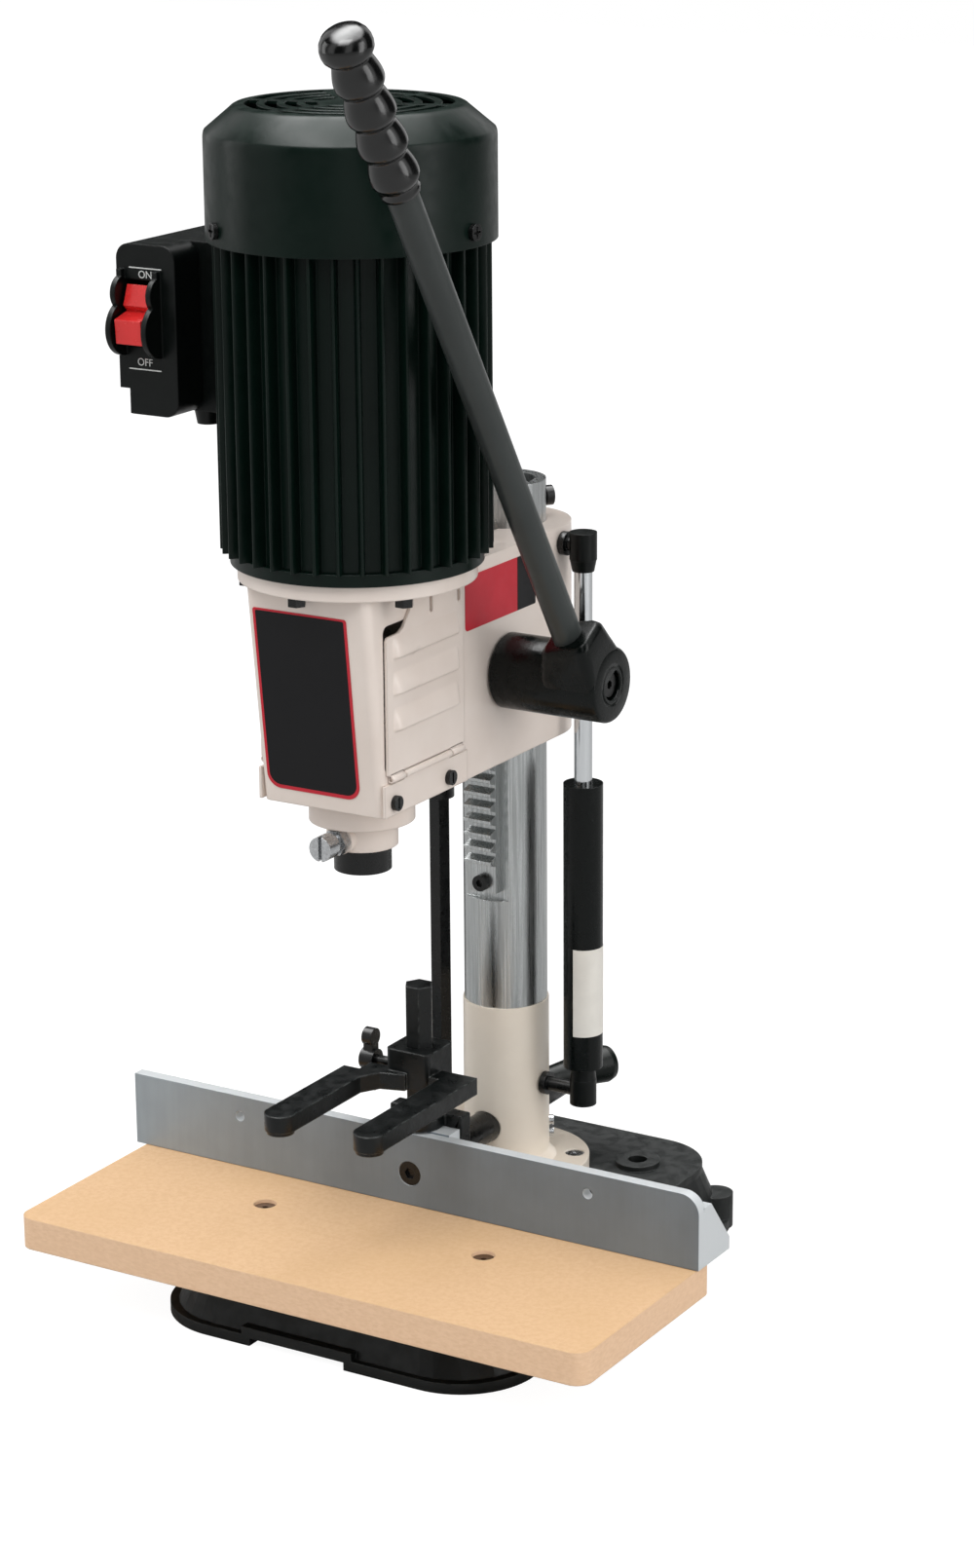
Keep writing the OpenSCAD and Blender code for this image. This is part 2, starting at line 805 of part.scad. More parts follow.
module holddown_fork() {
    inner = fork_span / 2 - fork_arm_w / 2;
    left_heel = post_y + knob_sweep + 1;
    web_left = knob_x + 0.5;
    color(black_paint) difference() {
        union() {
            fork_arm(fork_heel);
            mirror([1, 0, 0]) fork_arm(left_heel);
            at_post() slab(-block_half, -block_half, block_half, block_half, block_corner,
                block_low, block_high);
            translate([0, -post_y - 12, fork_z]) cube([inner + 1, 12, fork_t]);
            translate([0, 0, fork_z]) linear_extrude(fork_t) polygon([
                [-inner - 6, -left_heel], [web_left, -left_heel], [web_left, -post_y - 8],
                [-block_half + 1, -post_y - 8], [0, -post_y], [0, -post_y - block_half - 2],
                [-inner + 6, -post_y - block_half - 6], [-inner, -left_heel - 10],
                [-inner - 6, -left_heel - 10]]);
        }
        at_post() hex_bar(post_flats + 2 * 0.15, block_low - cut, block_high + cut);
        translate([0, -post_y, knob_z]) bar_x(3 + run_gap, -block_half - cut, -post_r + 1);
    }
}

module fork_knob() {
    color(black_paint) translate([knob_x, -post_y, knob_z]) {
        bar_x(3, -2, -knob_x - post_r - 0.4);
        bar_x(6, -9, -0.5);
        for (turn = [0, 180]) rotate([turn, 0, 0]) {
            translate([-7.5, -3, 0]) cube([6, 6, knob_arm]);
            translate([-7.5, 0, knob_arm]) rotate([0, 90, 0]) cylinder(r = knob_lobe, h = 6);
        }
    }
}

module fence_lock_stud() {
    color(steel) rotate([0, 0, lock_turn]) translate([0, 0, fence_lock_z])
        bar_x(4, stud_len_in, grip_start + 14);
}

module fence_lock_grip() {
    color(black_paint) rotate([0, 0, lock_turn]) translate([0, 0, fence_lock_z]) rotate([0, 90, 0])
        rotate_extrude() polygon([[4 + seat_gap, sleeve_r + 1], [6.5, sleeve_r + 1], [7.5, grip_start + 6],
            [11, grip_end - 5], [10, grip_end - 1.5], [7, grip_end], [0, grip_end],
            [0, grip_start + 15], [4 + seat_gap, grip_start + 15]]);
}

// ---- Depth stop ----

module stop_collar() {
    color(black_paint) at_stop_rod() difference() {
        post(collar_r, collar_z, collar_z + stop_collar_h);
        hex_bar(stop_flats + 2 * 0.15, collar_z - cut, collar_z + stop_collar_h + cut);
        translate([0, 0, collar_z + stop_collar_h / 2])
            bar_x(2.5 + run_gap, -collar_r - cut, -stop_r + 1);
    }
}

module collar_screw() {
    color(steel) at_stop_rod() translate([0, 0, collar_z + stop_collar_h / 2]) {
        bar_x(2.5, -collar_r - 3, -stop_r - 0.3);
        bar_x(7, -collar_r - 10, -collar_r - 2);
    }
}

// ---- Head ----

// Front of the head, with round corners and a face that leans out towards the top
module head_nose_block() {
    high = head_top - head_bottom;
    intersection() {
        translate([0, -head_front, head_bottom]) rotate([front_lean, 0, 0])
            slab(-head_half, 0, head_half, chisel_y, head_corner, -20, high + 20);
        translate([-head_half, -2 * chisel_y, head_bottom]) cube([head_w, 2 * chisel_y, high]);
    }
}

module head_body() {
    head_nose_block();
    translate([-head_half, -chisel_y, head_bottom]) cube([head_w, chisel_y, head_top - head_bottom]);
    post(head_half, head_bottom, head_top);
    at_chisel() {
        post(motor_flange_r, head_top, motor_z);
        post(nose_r, head_bottom - nose_h, head_bottom + cut);
        post(throat_r, nose_bottom, head_bottom);
        translate([0, 0, lock_z]) bar_y(7.5, -throat_r - 3, 0);
    }
    translate([-stop_x - 9, stop_y - 11, lug_low]) cube([stop_x, 22, lug_h]);
}

module head_casting() {
    color(cream) difference() {
        head_body();
        post(column_r + run_gap, head_bottom - cut, head_top + cut);
        translate([-rack_w / 2 - 1.2, -pitch_line - addendum - 1.5, head_bottom - cut])
            cube([rack_w + 2.4, pitch_line + addendum + 1.5, head_top - head_bottom + 2 * cut]);
        at_pinion() {
            bar_x(pinion_tip_r + 1.2, -pinion_w / 2 - 1.5, pinion_w / 2 + 1.5);
            bar_x(shaft_bush_r + seat_gap, -head_half - cut, head_half + cut);
        }
        slab(-head_half + head_wall, -cavity_front, head_half - head_wall, -cavity_rear, 4,
            cavity_bottom, cavity_top);
        translate([-head_half - cut, 0, 0]) rotate([90, 0, 90]) linear_extrude(head_w + 2 * cut)
            rounded(-window_front, window_low, -window_rear, window_high, 4);
        at_chisel() {
            post(22, cavity_top - cut, motor_z + cut);
            post(spigot_ring_r + seat_gap, motor_z - spigot_ring_h - seat_gap, motor_z + cut);
            post(bushing_stem_r + seat_gap, nose_bottom - cut, cavity_bottom + cut);
            translate([0, 0, lock_z]) bar_y(lock_r + run_gap, -throat_r - 5, -bushing_stem_r + 1);
            for (turn = motor_bolt_turns) rotate([0, 0, turn]) translate([0, -motor_bolt_ring, 0])
                post(3 + seat_gap, head_top - cut, motor_z + cut);
        }
        at_stop_rod() hex_bar(stop_flats + 2 * 0.15, lug_low - cut, lug_low + lug_h + cut);
        at_gib_screws() bar_x(3 + seat_gap, column_r + 5, head_half + cut);
        translate([0, 0, gas_high_z]) bar_x(stud_r + seat_gap, head_half - 8, head_half + cut);
        both_sides() at_door_screws() bar_x(2 + seat_gap, -8, 0.5);
    }
}

module at_gib_screws() {
    for (z = [head_top - 9, head_bottom + 12]) translate([0, 0, z]) rotate([0, 0, 25]) children();
}

module at_door_screws() {
    for (y = [door_front + 6, door_rear - 15.5]) translate([head_half, y, head_bottom + 7]) children();
}

module gib_screws() {
    color(black_paint) at_gib_screws() difference() {
        bar_x(3, column_r + 5.5, head_half + 1.8);
        translate([head_half + 0.2, 0, 0]) rotate([0, 90, 0]) cylinder(r = 1.7, h = 4, $fn = 6);
    }
}

module chisel_bushing() {
    color(black_paint) at_chisel() difference() {
        union() {
            post(bushing_r, collar_bottom, nose_bottom - seat_gap);
            post(bushing_stem_r, nose_bottom - cut, cavity_bottom);
        }
        post(chisel_bore_r, collar_bottom - cut, cavity_bottom + cut);
        translate([0, 0, lock_z]) bar_y(lock_r + run_gap, -bushing_stem_r - cut, 0);
    }
}

module chisel_lock_nut() {
    front = -chisel_y - throat_r - 3;
    color(bright) translate([0, front, lock_z]) rotate([90, 0, 0]) difference() {
        translate([0, 0, seat_gap]) cylinder(r = 7.2, h = 5.5, $fn = 6);
        cylinder(r = lock_r + run_gap, h = 20, center = true);
    }
}

module chisel_lock_screw() {
    tip = -chisel_bore_r - 0.2;
    front = -throat_r - 3 - 6.5;
    color(bright) at_chisel() translate([0, 0, lock_z]) difference() {
        union() {
            bar_y(lock_r, front - 3, tip);
            bar_y(lock_head_r, front - 12, front - 3);
        }
        translate([-1, front - 13, -lock_head_r - 1]) cube([2, 4.5, 2 * lock_head_r + 2]);
    }
}

module pinion_bushings() {
    color([0.72, 0.58, 0.32]) at_pinion() both_sides() difference() {
        bar_x(shaft_bush_r, pinion_w / 2 + 2, head_half - 0.6);
        bar_x(shaft_r + run_gap, 0, head_half + cut);
    }
}

module gas_upper_stud() {
    color(black_paint) translate([0, 0, gas_high_z]) ball_stud(head_half, 6);
}

module gas_upper_socket() {
    color(black_paint) at_gas() translate([0, 0, gas_high_z])
        ball_socket(false, gas_high_z - rod_top - seat_gap, gas_rod_r + 1);
}

module gas_rod() {
    color(bright) at_gas() {
        post(gas_rod_r, piston_top - piston_h, rod_top);
        post(gas_bore - run_gap, piston_top - piston_h, piston_top);
    }
}

// ---- Motor ----

module motor_end_bell() {
    color(black_paint) at_chisel() difference() {
        union() {
            post(bell_r, motor_z, housing_z);
            post(spigot_ring_r, motor_z - spigot_ring_h, motor_z + cut);
        }
        post(housing_bore, motor_z + 5, housing_z + cut);
        post(11, motor_z - spigot_ring_h - cut, housing_z);
        post(bearing_r + seat_gap, motor_z - spigot_ring_h + 3, housing_z);
        for (turn = motor_bolt_turns) rotate([0, 0, turn]) translate([0, -motor_bolt_ring, 0])
            post(3 + seat_gap, motor_z - cut, motor_z + 5 + cut);
    }
}

module motor_bolts() {
    color(black_paint) at_chisel() for (turn = motor_bolt_turns) rotate([0, 0, turn])
        translate([0, -motor_bolt_ring, head_top - seat_gap]) {
            cylinder(r = 3, h = flange_h + 4.5);
            translate([0, 0, -4.5]) cylinder(r = 5, h = 4.5, $fn = 6);
        }
}

module motor_housing() {
    top_plate = 8;
    color(black_paint) at_chisel() difference() {
        union() {
            post(housing_r, housing_z + seat_gap, cover_z);
            for (k = [0 : fin_count - 1]) rotate([0, 0, (k + 0.5) * 360 / fin_count])
                translate([housing_r - 2, -fin_t / 2, housing_z + 1])
                    cube([fin_r - housing_r + 2, fin_t, housing_h - 1]);
        }
        post(housing_bore, housing_z - cut, cover_z - top_plate);
        post(bearing_r + seat_gap, cover_z - top_plate - cut, cover_z - 2);
        post(11, cover_z - 3, cover_z + cut);
    }
}

module motor_stator() {
    color([0.45, 0.30, 0.18]) at_chisel() difference() {
        post(housing_bore - seat_gap, core_low, core_high);
        post(rotor_r + stator_gap, core_low - cut, core_high + cut);
    }
}

module motor_bearings() {
    color(bright) at_chisel()
        for (z = [motor_z - spigot_ring_h + 3 + seat_gap, cover_z - 2 - bearing_h - seat_gap])
            difference() {
                post(bearing_r, z, z + bearing_h);
                post(motor_shaft_r + run_gap, z - cut, z + bearing_h + cut);
            }
}

module motor_shaft() {
    color(steel) at_chisel() post(motor_shaft_r, chuck_top - 22, fan_low + 26);
}

module motor_rotor() {
    color(steel) at_chisel() difference() {
        post(rotor_r, core_low, core_high);
        post(motor_shaft_r + seat_gap, core_low - cut, core_high + cut);
    }
}

module cooling_fan() {
    color(black_paint) at_chisel() difference() {
        union() {
            post(13, fan_low, fan_low + 24);
            post(56, fan_low, fan_low + 2.5);
            for (k = [0 : 7]) rotate([0, 0, k * 45]) translate([12, -1.2, fan_low])
                cube([44, 2.4, 22]);
        }
        post(motor_shaft_r + seat_gap, fan_low - cut, fan_low + 25);
    }
}

// The cover's section: a skirt, a bevel and a flat top with a round rim
module fan_cover() {
    shoulder = cover_top - cover_bevel_h - 1;
    flat_r = cover_r - cover_bevel;
    rings = [grille_r - 3, grille_r - 13, grille_r - 23, grille_r - 33];
    color(black_paint) at_chisel() difference() {
        rotate_extrude() polygon([[cover_r, cover_z + seat_gap], [cover_r, shoulder],
            [flat_r + 2, cover_top - 1.2], [flat_r, cover_top], [0, cover_top],
            [0, cover_top - cover_wall], [flat_r - 1, cover_top - cover_wall],
            [cover_r - cover_wall, shoulder - 1], [cover_r - cover_wall, cover_z + seat_gap]]);
        difference() {
            for (r = rings) difference() {
                post(r + 3, cover_top - cover_wall - cut, cover_top + cut);
                post(r - 3, cover_top - cover_wall - 2 * cut, cover_top + 2 * cut);
            }
            for (k = [0 : 2]) rotate([0, 0, 15 + k * 60])
                translate([-grille_r, -3, cover_top - cover_wall - 2 * cut])
                    cube([2 * grille_r, 6, cover_wall + 4 * cut]);
        }
        at_cover_screws() bar_x(2 + seat_gap, cover_r - cover_wall - cut, cover_r + cut);
    }
}

module at_cover_screws() {
    for (turn = cover_screw_turns) rotate([0, 0, turn - 90]) translate([0, 0, cover_screw_z]) children();
}

// Pan-head screws with the small bracket tab that each one is driven into
module fan_cover_screws() {
    color(black_paint) at_chisel() at_cover_screws() difference() {
        union() {
            bar_x(2, cover_r - 8, cover_r + 1);
            bar_x(cover_screw_r, cover_r + seat_gap, cover_r + 2.6);
            translate([fin_r - 6, -4, cover_z - cover_screw_z + seat_gap])
                cube([cover_r - cover_wall - fin_r + 5.9, 8, 12]);
        }
        translate([cover_r + 1.2, -0.7, -3]) cube([2, 1.4, 6]);
        translate([cover_r + 1.2, -3, -0.7]) cube([2, 6, 1.4]);
    }
}

// ---- Switch ----

module switch_box() {
    color(black_paint) difference() {
        translate([0, -box_front + lid_t, 0]) rotate([90, 0, 0])
            mirror([0, 0, 1]) linear_extrude(box_front - lid_t - box_rear)
                rounded(-box_left, box_low, -box_right, box_high, box_round);
        at_chisel() post(fin_r + 0.1, box_low - cut, box_high + cut);
        translate([-box_left + 4, -box_front + lid_t - cut, box_low + 6])
            cube([26, box_front - lid_t - box_rear - 5, box_high - box_low - 12]);
        translate([-box_left + 14, -box_rear - 22, box_low - cut]) cylinder(r = 7 + seat_gap, h = 10);
    }
}

module switch_lid() {
    color(black_paint) difference() {
        union() {
            translate([0, -box_front + lid_t - seat_gap, 0]) rotate([90, 0, 0])
                linear_extrude(lid_front - box_front + lid_t - seat_gap)
                difference() {
                    rounded(-box_left, box_low, -lid_right, box_high, box_round);
                    translate([-box_left - cut, box_low - cut]) square([6 + cut, 13 + cut]);
                }
            for (x = [rocker_x - rocker_w / 2 - 4, rocker_x + rocker_w / 2 + 1])
                translate([x, -lid_front, rocker_z - 22]) rotate([90, 0, 90]) linear_extrude(3)
                    guard_profile();
        }
        translate([rocker_x - rocker_w / 2 - 1, -lid_front - 20, rocker_z - rocker_len / 2 - 1])
            cube([rocker_w + 2, 45, rocker_len + 2]);
        translate([rocker_x, -lid_front + rocker_pivot, rocker_z])
            bar_x(rocker_pin_r + run_gap, -rocker_w / 2 - 3.2, rocker_w / 2 + 3.2);
        at_chisel() post(fin_r + 0.1, box_low - cut, box_high + cut);
    }
}

// Side view of the wavy guard: x runs towards the back, y is the height
module guard_profile() {
    intersection() {
        union() {
            translate([0, 14]) circle(r = 14);
            translate([0, 32]) circle(r = 9);
            translate([-3, 2]) square([12, 42]);
        }
        translate([-20, 0]) square([22, 44]);
    }
}

// Rocker in (Y, Z): a low upper face and a paddle that stands out below
module rocker_switch() {
    half = rocker_len / 2 - 0.6;
    color(switch_red) translate([rocker_x, -lid_front + rocker_pivot, rocker_z]) {
        translate([-rocker_w / 2 + 0.5, 0, 0]) rotate([90, 0, 90]) linear_extrude(rocker_w - 1)
            polygon([[3, -half + 3], [3, half - 3], [-5, half - 1], [-9, 4], [-6, 1],
                [-17, -2], [-16, -half + 1], [-6, -half]]);
        bar_x(rocker_pin_r, -rocker_w / 2 - 3, rocker_w / 2 + 3);
    }
}

module cord_gland() {
    color(black_paint) translate([-box_left + 14, -box_rear - 22, box_low]) difference() {
        union() {
            translate([0, 0, -14]) cylinder(r1 = 6, r2 = 8.5, h = 14 - seat_gap);
            translate([0, 0, -cut]) cylinder(r = 7, h = 8);
        }
        translate([0, 0, -15]) cylinder(r = 4, h = 30);
    }
}

// ---- Chuck ----

module chuck_body() {
    low = chuck_top - chuck_len;
    color(steel) at_chisel() difference() {
        post(chuck_r, low, chuck_top);
        post(motor_shaft_r + seat_gap, chuck_top - 22 - seat_gap, chuck_top + cut);
        post(bit_r + 1, low - cut, chuck_top);
        translate([0, 0, low - 0.01]) cylinder(r1 = jaw_r + 0.1, r2 = jaw_tip_r + 0.1, h = 20);
    }
}

module chuck_sleeve() {
    low = chuck_top - chuck_len + 8;
    color(steel) at_chisel() difference() {
        union() {
            post(chuck_sleeve_r, low, low + 18);
            for (k = [0 : 23]) rotate([0, 0, k * 15]) translate([chuck_sleeve_r - 1, -1, low])
                cube([1.8, 2, 4]);
        }
        post(chuck_r + run_gap, low - cut, low + 19);
    }
}

module chuck_jaws() {
    low = chuck_top - chuck_len;
    color(bright) at_chisel() difference() {
        union() {
            translate([0, 0, low]) cylinder(r1 = jaw_r, r2 = jaw_tip_r, h = 19.5);
            translate([0, 0, low - jaw_out]) cylinder(r1 = jaw_tip_r + 1, r2 = jaw_r, h = jaw_out);
        }
        post(bit_r, low - 2 * jaw_out, low + 30);
        for (k = [0 : 2]) rotate([0, 0, k * 120]) translate([0, -0.5, low - 2 * jaw_out])
            cube([20, 1, 60]);
    }
}

// ---- Lever ----

base_circle = pinion_r * cos(pressure);
// Angle of the involute, in degrees, at radius r
function involute(r) = let (a = acos(min(1, base_circle / r))) tan(a) * 180 / PI - a;
// Half the angle of a tooth at radius r
function tooth_half(r) =
    (pitch / 2 - backlash) / (2 * pinion_r) * 180 / PI + involute(pinion_r) - involute(max(r, base_circle));
flank_steps = 6;
root_r = pinion_r - dedendum;
function flank_r(i) = root_r + (pinion_tip_r - root_r) * i / flank_steps;
function polar(r, a) = [r * cos(a), r * sin(a)];

// Pinion outline with one tooth along +X
module pinion_outline() {
    step = 360 / pinion_teeth;
    polygon([for (k = [0 : pinion_teeth - 1]) each concat(
        [for (i = [0 : flank_steps]) polar(flank_r(i), k * step - tooth_half(flank_r(i)))],
        [for (i = [flank_steps : -1 : 0]) polar(flank_r(i), k * step + tooth_half(flank_r(i)))])]);
}

module pinion_shaft() {
    color(steel) at_pinion() {
        bar_x(shaft_r, -head_half - 2, hub_end - 22);
        translate([-pinion_w / 2, 0, 0]) rotate([90, 0, 90]) linear_extrude(pinion_w) pinion_outline();
        bar_x(shaft_r + 4, -head_half - 5, -head_half - 1);
    }
}

module along_lever() {
    translate([lever_x, -pinion_y, pinion_z]) rotate([lever_lean, 0, 0]) children();
}

module lever_hub() {
    color(black_paint) difference() {
        at_pinion() {
            bar_x(hub_r, hub_start, hub_end - 1.5);
            bar_x(hub_r - 1.5, hub_end - 2, hub_end);
            translate([lever_x, 0, 0]) rotate([lever_lean, 0, 0])
                cylinder(r1 = 16, r2 = 11.5, h = boss_reach);
        }
        at_pinion() {
            bar_x(shaft_r + seat_gap, hub_start - cut, hub_end - 22 + seat_gap);
            bar_x(8, hub_end - 8, hub_end + cut);
            bar_x(3 + seat_gap, hub_end - 24, hub_end);
        }
        along_lever() post(lever_r + seat_gap, shaft_r + 2, boss_reach + cut);
    }
}

module hub_screw() {
    color(black_paint) at_pinion() difference() {
        union() {
            bar_x(3, hub_end - 22 + 0.1, hub_end - 7);
            bar_x(6.5, hub_end - 8 + seat_gap, hub_end - 2);
        }
        translate([hub_end - 5, 0, 0]) rotate([0, 90, 0]) cylinder(r = 2.5, h = 4, $fn = 6);
    }
}

module lever_rod() {
    color([0.24, 0.25, 0.25]) along_lever() post(lever_r, shaft_r + 2.5, lever_reach - 20);
}

// Outline of the grip: swells of equal pitch between two necks, with a ball at the end
module lever_grip() {
    start = lever_reach - grip_len;
    ball = lever_reach - grip_ball_r;
    wave_end = ball - grip_ball_r * 0.7;
    steps = grip_bulges * 8;
    color(black_paint) along_lever() difference() {
        union() {
            rotate_extrude() polygon(concat([[0, start]],
                [for (i = [0 : steps])
                    [grip_r + grip_swell * (0.5 - 0.5 * cos(i * 360 * grip_bulges / steps)),
                        start + (wave_end - start) * i / steps]],
                [[0, wave_end]]));
            translate([0, 0, ball]) sphere(r = grip_ball_r);
            post(grip_r, wave_end - cut, ball);
        }
        post(lever_r + seat_gap, start - cut, lever_reach - 20 + seat_gap);
    }
}

// ---- Chuck doors ----

// Door outline in (Y, Z), with its front top corner cut off
module door_outline() {
    polygon([[door_front, hinge_z + 2.4], [door_rear, hinge_z + 2.4], [door_rear, door_top],
        [door_front + 26, door_top], [door_front + 24, door_top - 6], [door_front + 14, door_top - 17.5],
        [door_front + 1.5, door_top - 18], [door_front, door_top - 19.5]]);
}

module door() {
    difference() {
        union() {
            translate([door_x, 0, 0]) rotate([90, 0, 90]) linear_extrude(door_t) door_outline();
            for (k = [0 : 2]) translate([door_x, 0, louvre_first + louvre_pitch * k]) louvre();
            translate([hinge_x, 0, hinge_z]) for (y = [[door_front + 2, door_front + 14],
                    [door_rear - 14, door_rear - 2]]) {
                bar_y(knuckle_r, y[0], y[1]);
                translate([-1.6, y[0], 0]) cube([1.6, y[1] - y[0], 3]);
            }
        }
        translate([hinge_x, 0, hinge_z]) bar_y(0.9 + run_gap, door_front, door_rear);
        for (y = door_slots) translate([door_x - cut, y - 1.6, door_top - 13.5])
            cube([door_t + 2 * cut, 3.2, 9]);
    }
}

// Pressed louvre: a round ridge that stands out from the sheet
module louvre() {
    reach = louvre_half - 7;
    intersection() {
        translate([-4, (door_front + door_rear) / 2, 0]) union() {
            bar_y(7, -reach, reach);
            for (side = [-1, 1]) translate([0, side * reach, 0]) sphere(r = 7);
        }
        translate([0, door_front, -20]) cube([20, door_rear - door_front, 40]);
    }
}

module right_door() { color(cream) door(); }
module left_door() { color(cream) mirror([1, 0, 0]) door(); }

// Fixed lower strip with its hinge knuckle and pin
module door_strips() {
    color(cream) both_sides() difference() {
        union() {
            translate([door_x - 0.25, door_front - 3, head_bottom + 0.5])
                cube([door_t, door_rear - door_front + 6, hinge_z - head_bottom - 3.2]);
            translate([hinge_x, 0, hinge_z]) {
                bar_y(knuckle_r, door_front + 15, door_rear - 15);
                bar_y(0.9, door_front + 3, door_rear - 3);
                translate([-1.8, door_front + 15, -3.5]) cube([1.6, door_rear - door_front - 30, 3.5]);
            }
        }
        at_door_screws() bar_x(2 + seat_gap, -1, 5);
    }
}

module door_screws() {
    color(black_paint) both_sides() at_door_screws() difference() {
        union() {
            bar_x(2, -7, 2);
            bar_x(4, door_x + door_t - head_half - 0.2, door_x + door_t - head_half + 2.4);
        }
        translate([door_x + door_t - head_half + 1, -0.7, -3]) cube([2, 1.4, 6]);
    }
}

base_casting();
table_board();
table_screws();
column_support();
flange_bolts();
support_screws();
column_tube();
top_stop_screw();
rack();
rack_screws();
stop_rod();
gas_lower_stud();
gas_lower_socket();
gas_tube();
fence_casting();
fence_rod();
fence_screws();
holddown_bracket();
holddown_post();
holddown_fork();
fork_knob();
fence_lock_stud();
fence_lock_grip();
stop_collar();
collar_screw();
head_casting();
motor_end_bell();
motor_housing();
motor_stator();
fan_cover();
fan_cover_screws();
motor_bearings();
motor_bolts();
switch_box();
switch_lid();
cord_gland();
chisel_bushing();
chisel_lock_nut();
gas_upper_stud();
gas_upper_socket();
gas_rod();
gib_screws();
pinion_bushings();
door_strips();
door_screws();
motor_shaft();
motor_rotor();
cooling_fan();
chuck_body();
chuck_sleeve();
chuck_jaws();
pinion_shaft();
lever_hub();
lever_rod();
lever_grip();
hub_screw();
right_door();
left_door();
rocker_switch();
chisel_lock_screw();
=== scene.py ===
"""Looks of a benchtop hollow-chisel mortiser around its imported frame. Metres, +Z up, front is -Y."""

import json
import math

import bmesh
import bpy
from mathutils import Matrix, Vector


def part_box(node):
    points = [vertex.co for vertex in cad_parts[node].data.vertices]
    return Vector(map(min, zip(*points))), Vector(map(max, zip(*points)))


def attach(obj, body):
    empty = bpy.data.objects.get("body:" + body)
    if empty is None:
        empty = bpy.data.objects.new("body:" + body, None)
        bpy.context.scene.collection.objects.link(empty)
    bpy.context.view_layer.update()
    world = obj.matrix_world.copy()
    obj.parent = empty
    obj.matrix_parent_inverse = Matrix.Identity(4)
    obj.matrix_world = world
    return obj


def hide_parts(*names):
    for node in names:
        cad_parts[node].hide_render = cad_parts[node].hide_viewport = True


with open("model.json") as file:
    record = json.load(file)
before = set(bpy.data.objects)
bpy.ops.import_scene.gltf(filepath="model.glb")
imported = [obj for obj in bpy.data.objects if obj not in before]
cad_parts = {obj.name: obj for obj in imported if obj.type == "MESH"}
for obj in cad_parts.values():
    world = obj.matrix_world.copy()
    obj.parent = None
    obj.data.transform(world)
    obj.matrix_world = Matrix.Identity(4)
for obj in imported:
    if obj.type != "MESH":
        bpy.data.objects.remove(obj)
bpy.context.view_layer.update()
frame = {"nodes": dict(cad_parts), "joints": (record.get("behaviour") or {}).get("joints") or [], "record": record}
MM = 0.001


# ---- Node helpers ----

def node(tree, kind, inputs=None, **settings):
    """A node of a kind, with its settings, and its inputs linked to sockets or set to values."""
    made = tree.nodes.new(kind)
    for key, value in settings.items():
        setattr(made, key, value)
    for key, value in (inputs or {}).items():
        if isinstance(value, bpy.types.NodeSocket):
            tree.links.new(value, made.inputs[key])
        else:
            made.inputs[key].default_value = value
    return made


def new_group(name, inputs, outputs):
    """An empty shader group; gives the group, its input sockets and its output sockets."""
    group = bpy.data.node_groups.new(name, "ShaderNodeTree")
    for label, kind, default in inputs:
        group.interface.new_socket(label, in_out="INPUT", socket_type=kind).default_value = default
    for label, kind in outputs:
        group.interface.new_socket(label, in_out="OUTPUT", socket_type=kind)
    return group, group.nodes.new("NodeGroupInput").outputs, group.nodes.new("NodeGroupOutput").inputs


def colour(red, green, blue):
    """A linear colour from sRGB values of 0 to 255."""
    def linear(value):
        value /= 255
        return value / 12.92 if value <= 0.04045 else ((value + 0.055) / 1.055) ** 2.4
    return (linear(red), linear(green), linear(blue), 1.0)


def math_node(tree, operation, first, second=0.0):
    return node(tree, "ShaderNodeMath", {0: first, 1: second}, operation=operation).outputs[0]


def ramp(tree, value, low, high, out_low=0.0, out_high=1.0):
    """Maps a value smoothly from low..high to out_low..out_high."""
    made = node(tree, "ShaderNodeMapRange", {"Value": value, "From Min": low, "From Max": high,
                "To Min": out_low, "To Max": out_high}, interpolation_type="SMOOTHSTEP")
    return made.outputs["Result"]


def object_noise(tree, scale, detail=3.0, roughness=0.5, stretch=None):
    """Noise on Object coordinates, stretched along an axis where stretch is given."""
    place = node(tree, "ShaderNodeTexCoord").outputs["Object"]
    if stretch:
        place = node(tree, "ShaderNodeMapping", {"Vector": place, "Scale": stretch}).outputs[0]
    made = node(tree, "ShaderNodeTexNoise",
                {"Vector": place, "Scale": scale, "Detail": detail, "Roughness": roughness})
    return made.outputs["Fac"]


# ---- Shader groups ----

def build_mottle():
    """Blends two colours in soft blotches, as paint and oxide finishes show."""
    group, given, result = new_group("mottle", [
        ("Colour", "NodeSocketColor", (1, 1, 1, 1)), ("Second colour", "NodeSocketColor", (0, 0, 0, 1)),
        ("Scale", "NodeSocketFloat", 30.0), ("Amount", "NodeSocketFloat", 0.3)], [
        ("Colour", "NodeSocketColor")])
    place = node(group, "ShaderNodeTexCoord").outputs["Object"]
    noise = node(group, "ShaderNodeTexNoise", {"Vector": place, "Scale": given["Scale"], "Detail": 4.0})
    share = math_node(group, "MULTIPLY", ramp(group, noise.outputs["Fac"], 0.35, 0.7), given["Amount"])
    mix = node(group, "ShaderNodeMixRGB", {"Fac": share, "Color1": given["Colour"],
               "Color2": given["Second colour"]})
    group.links.new(mix.outputs[0], result["Colour"])
    return group


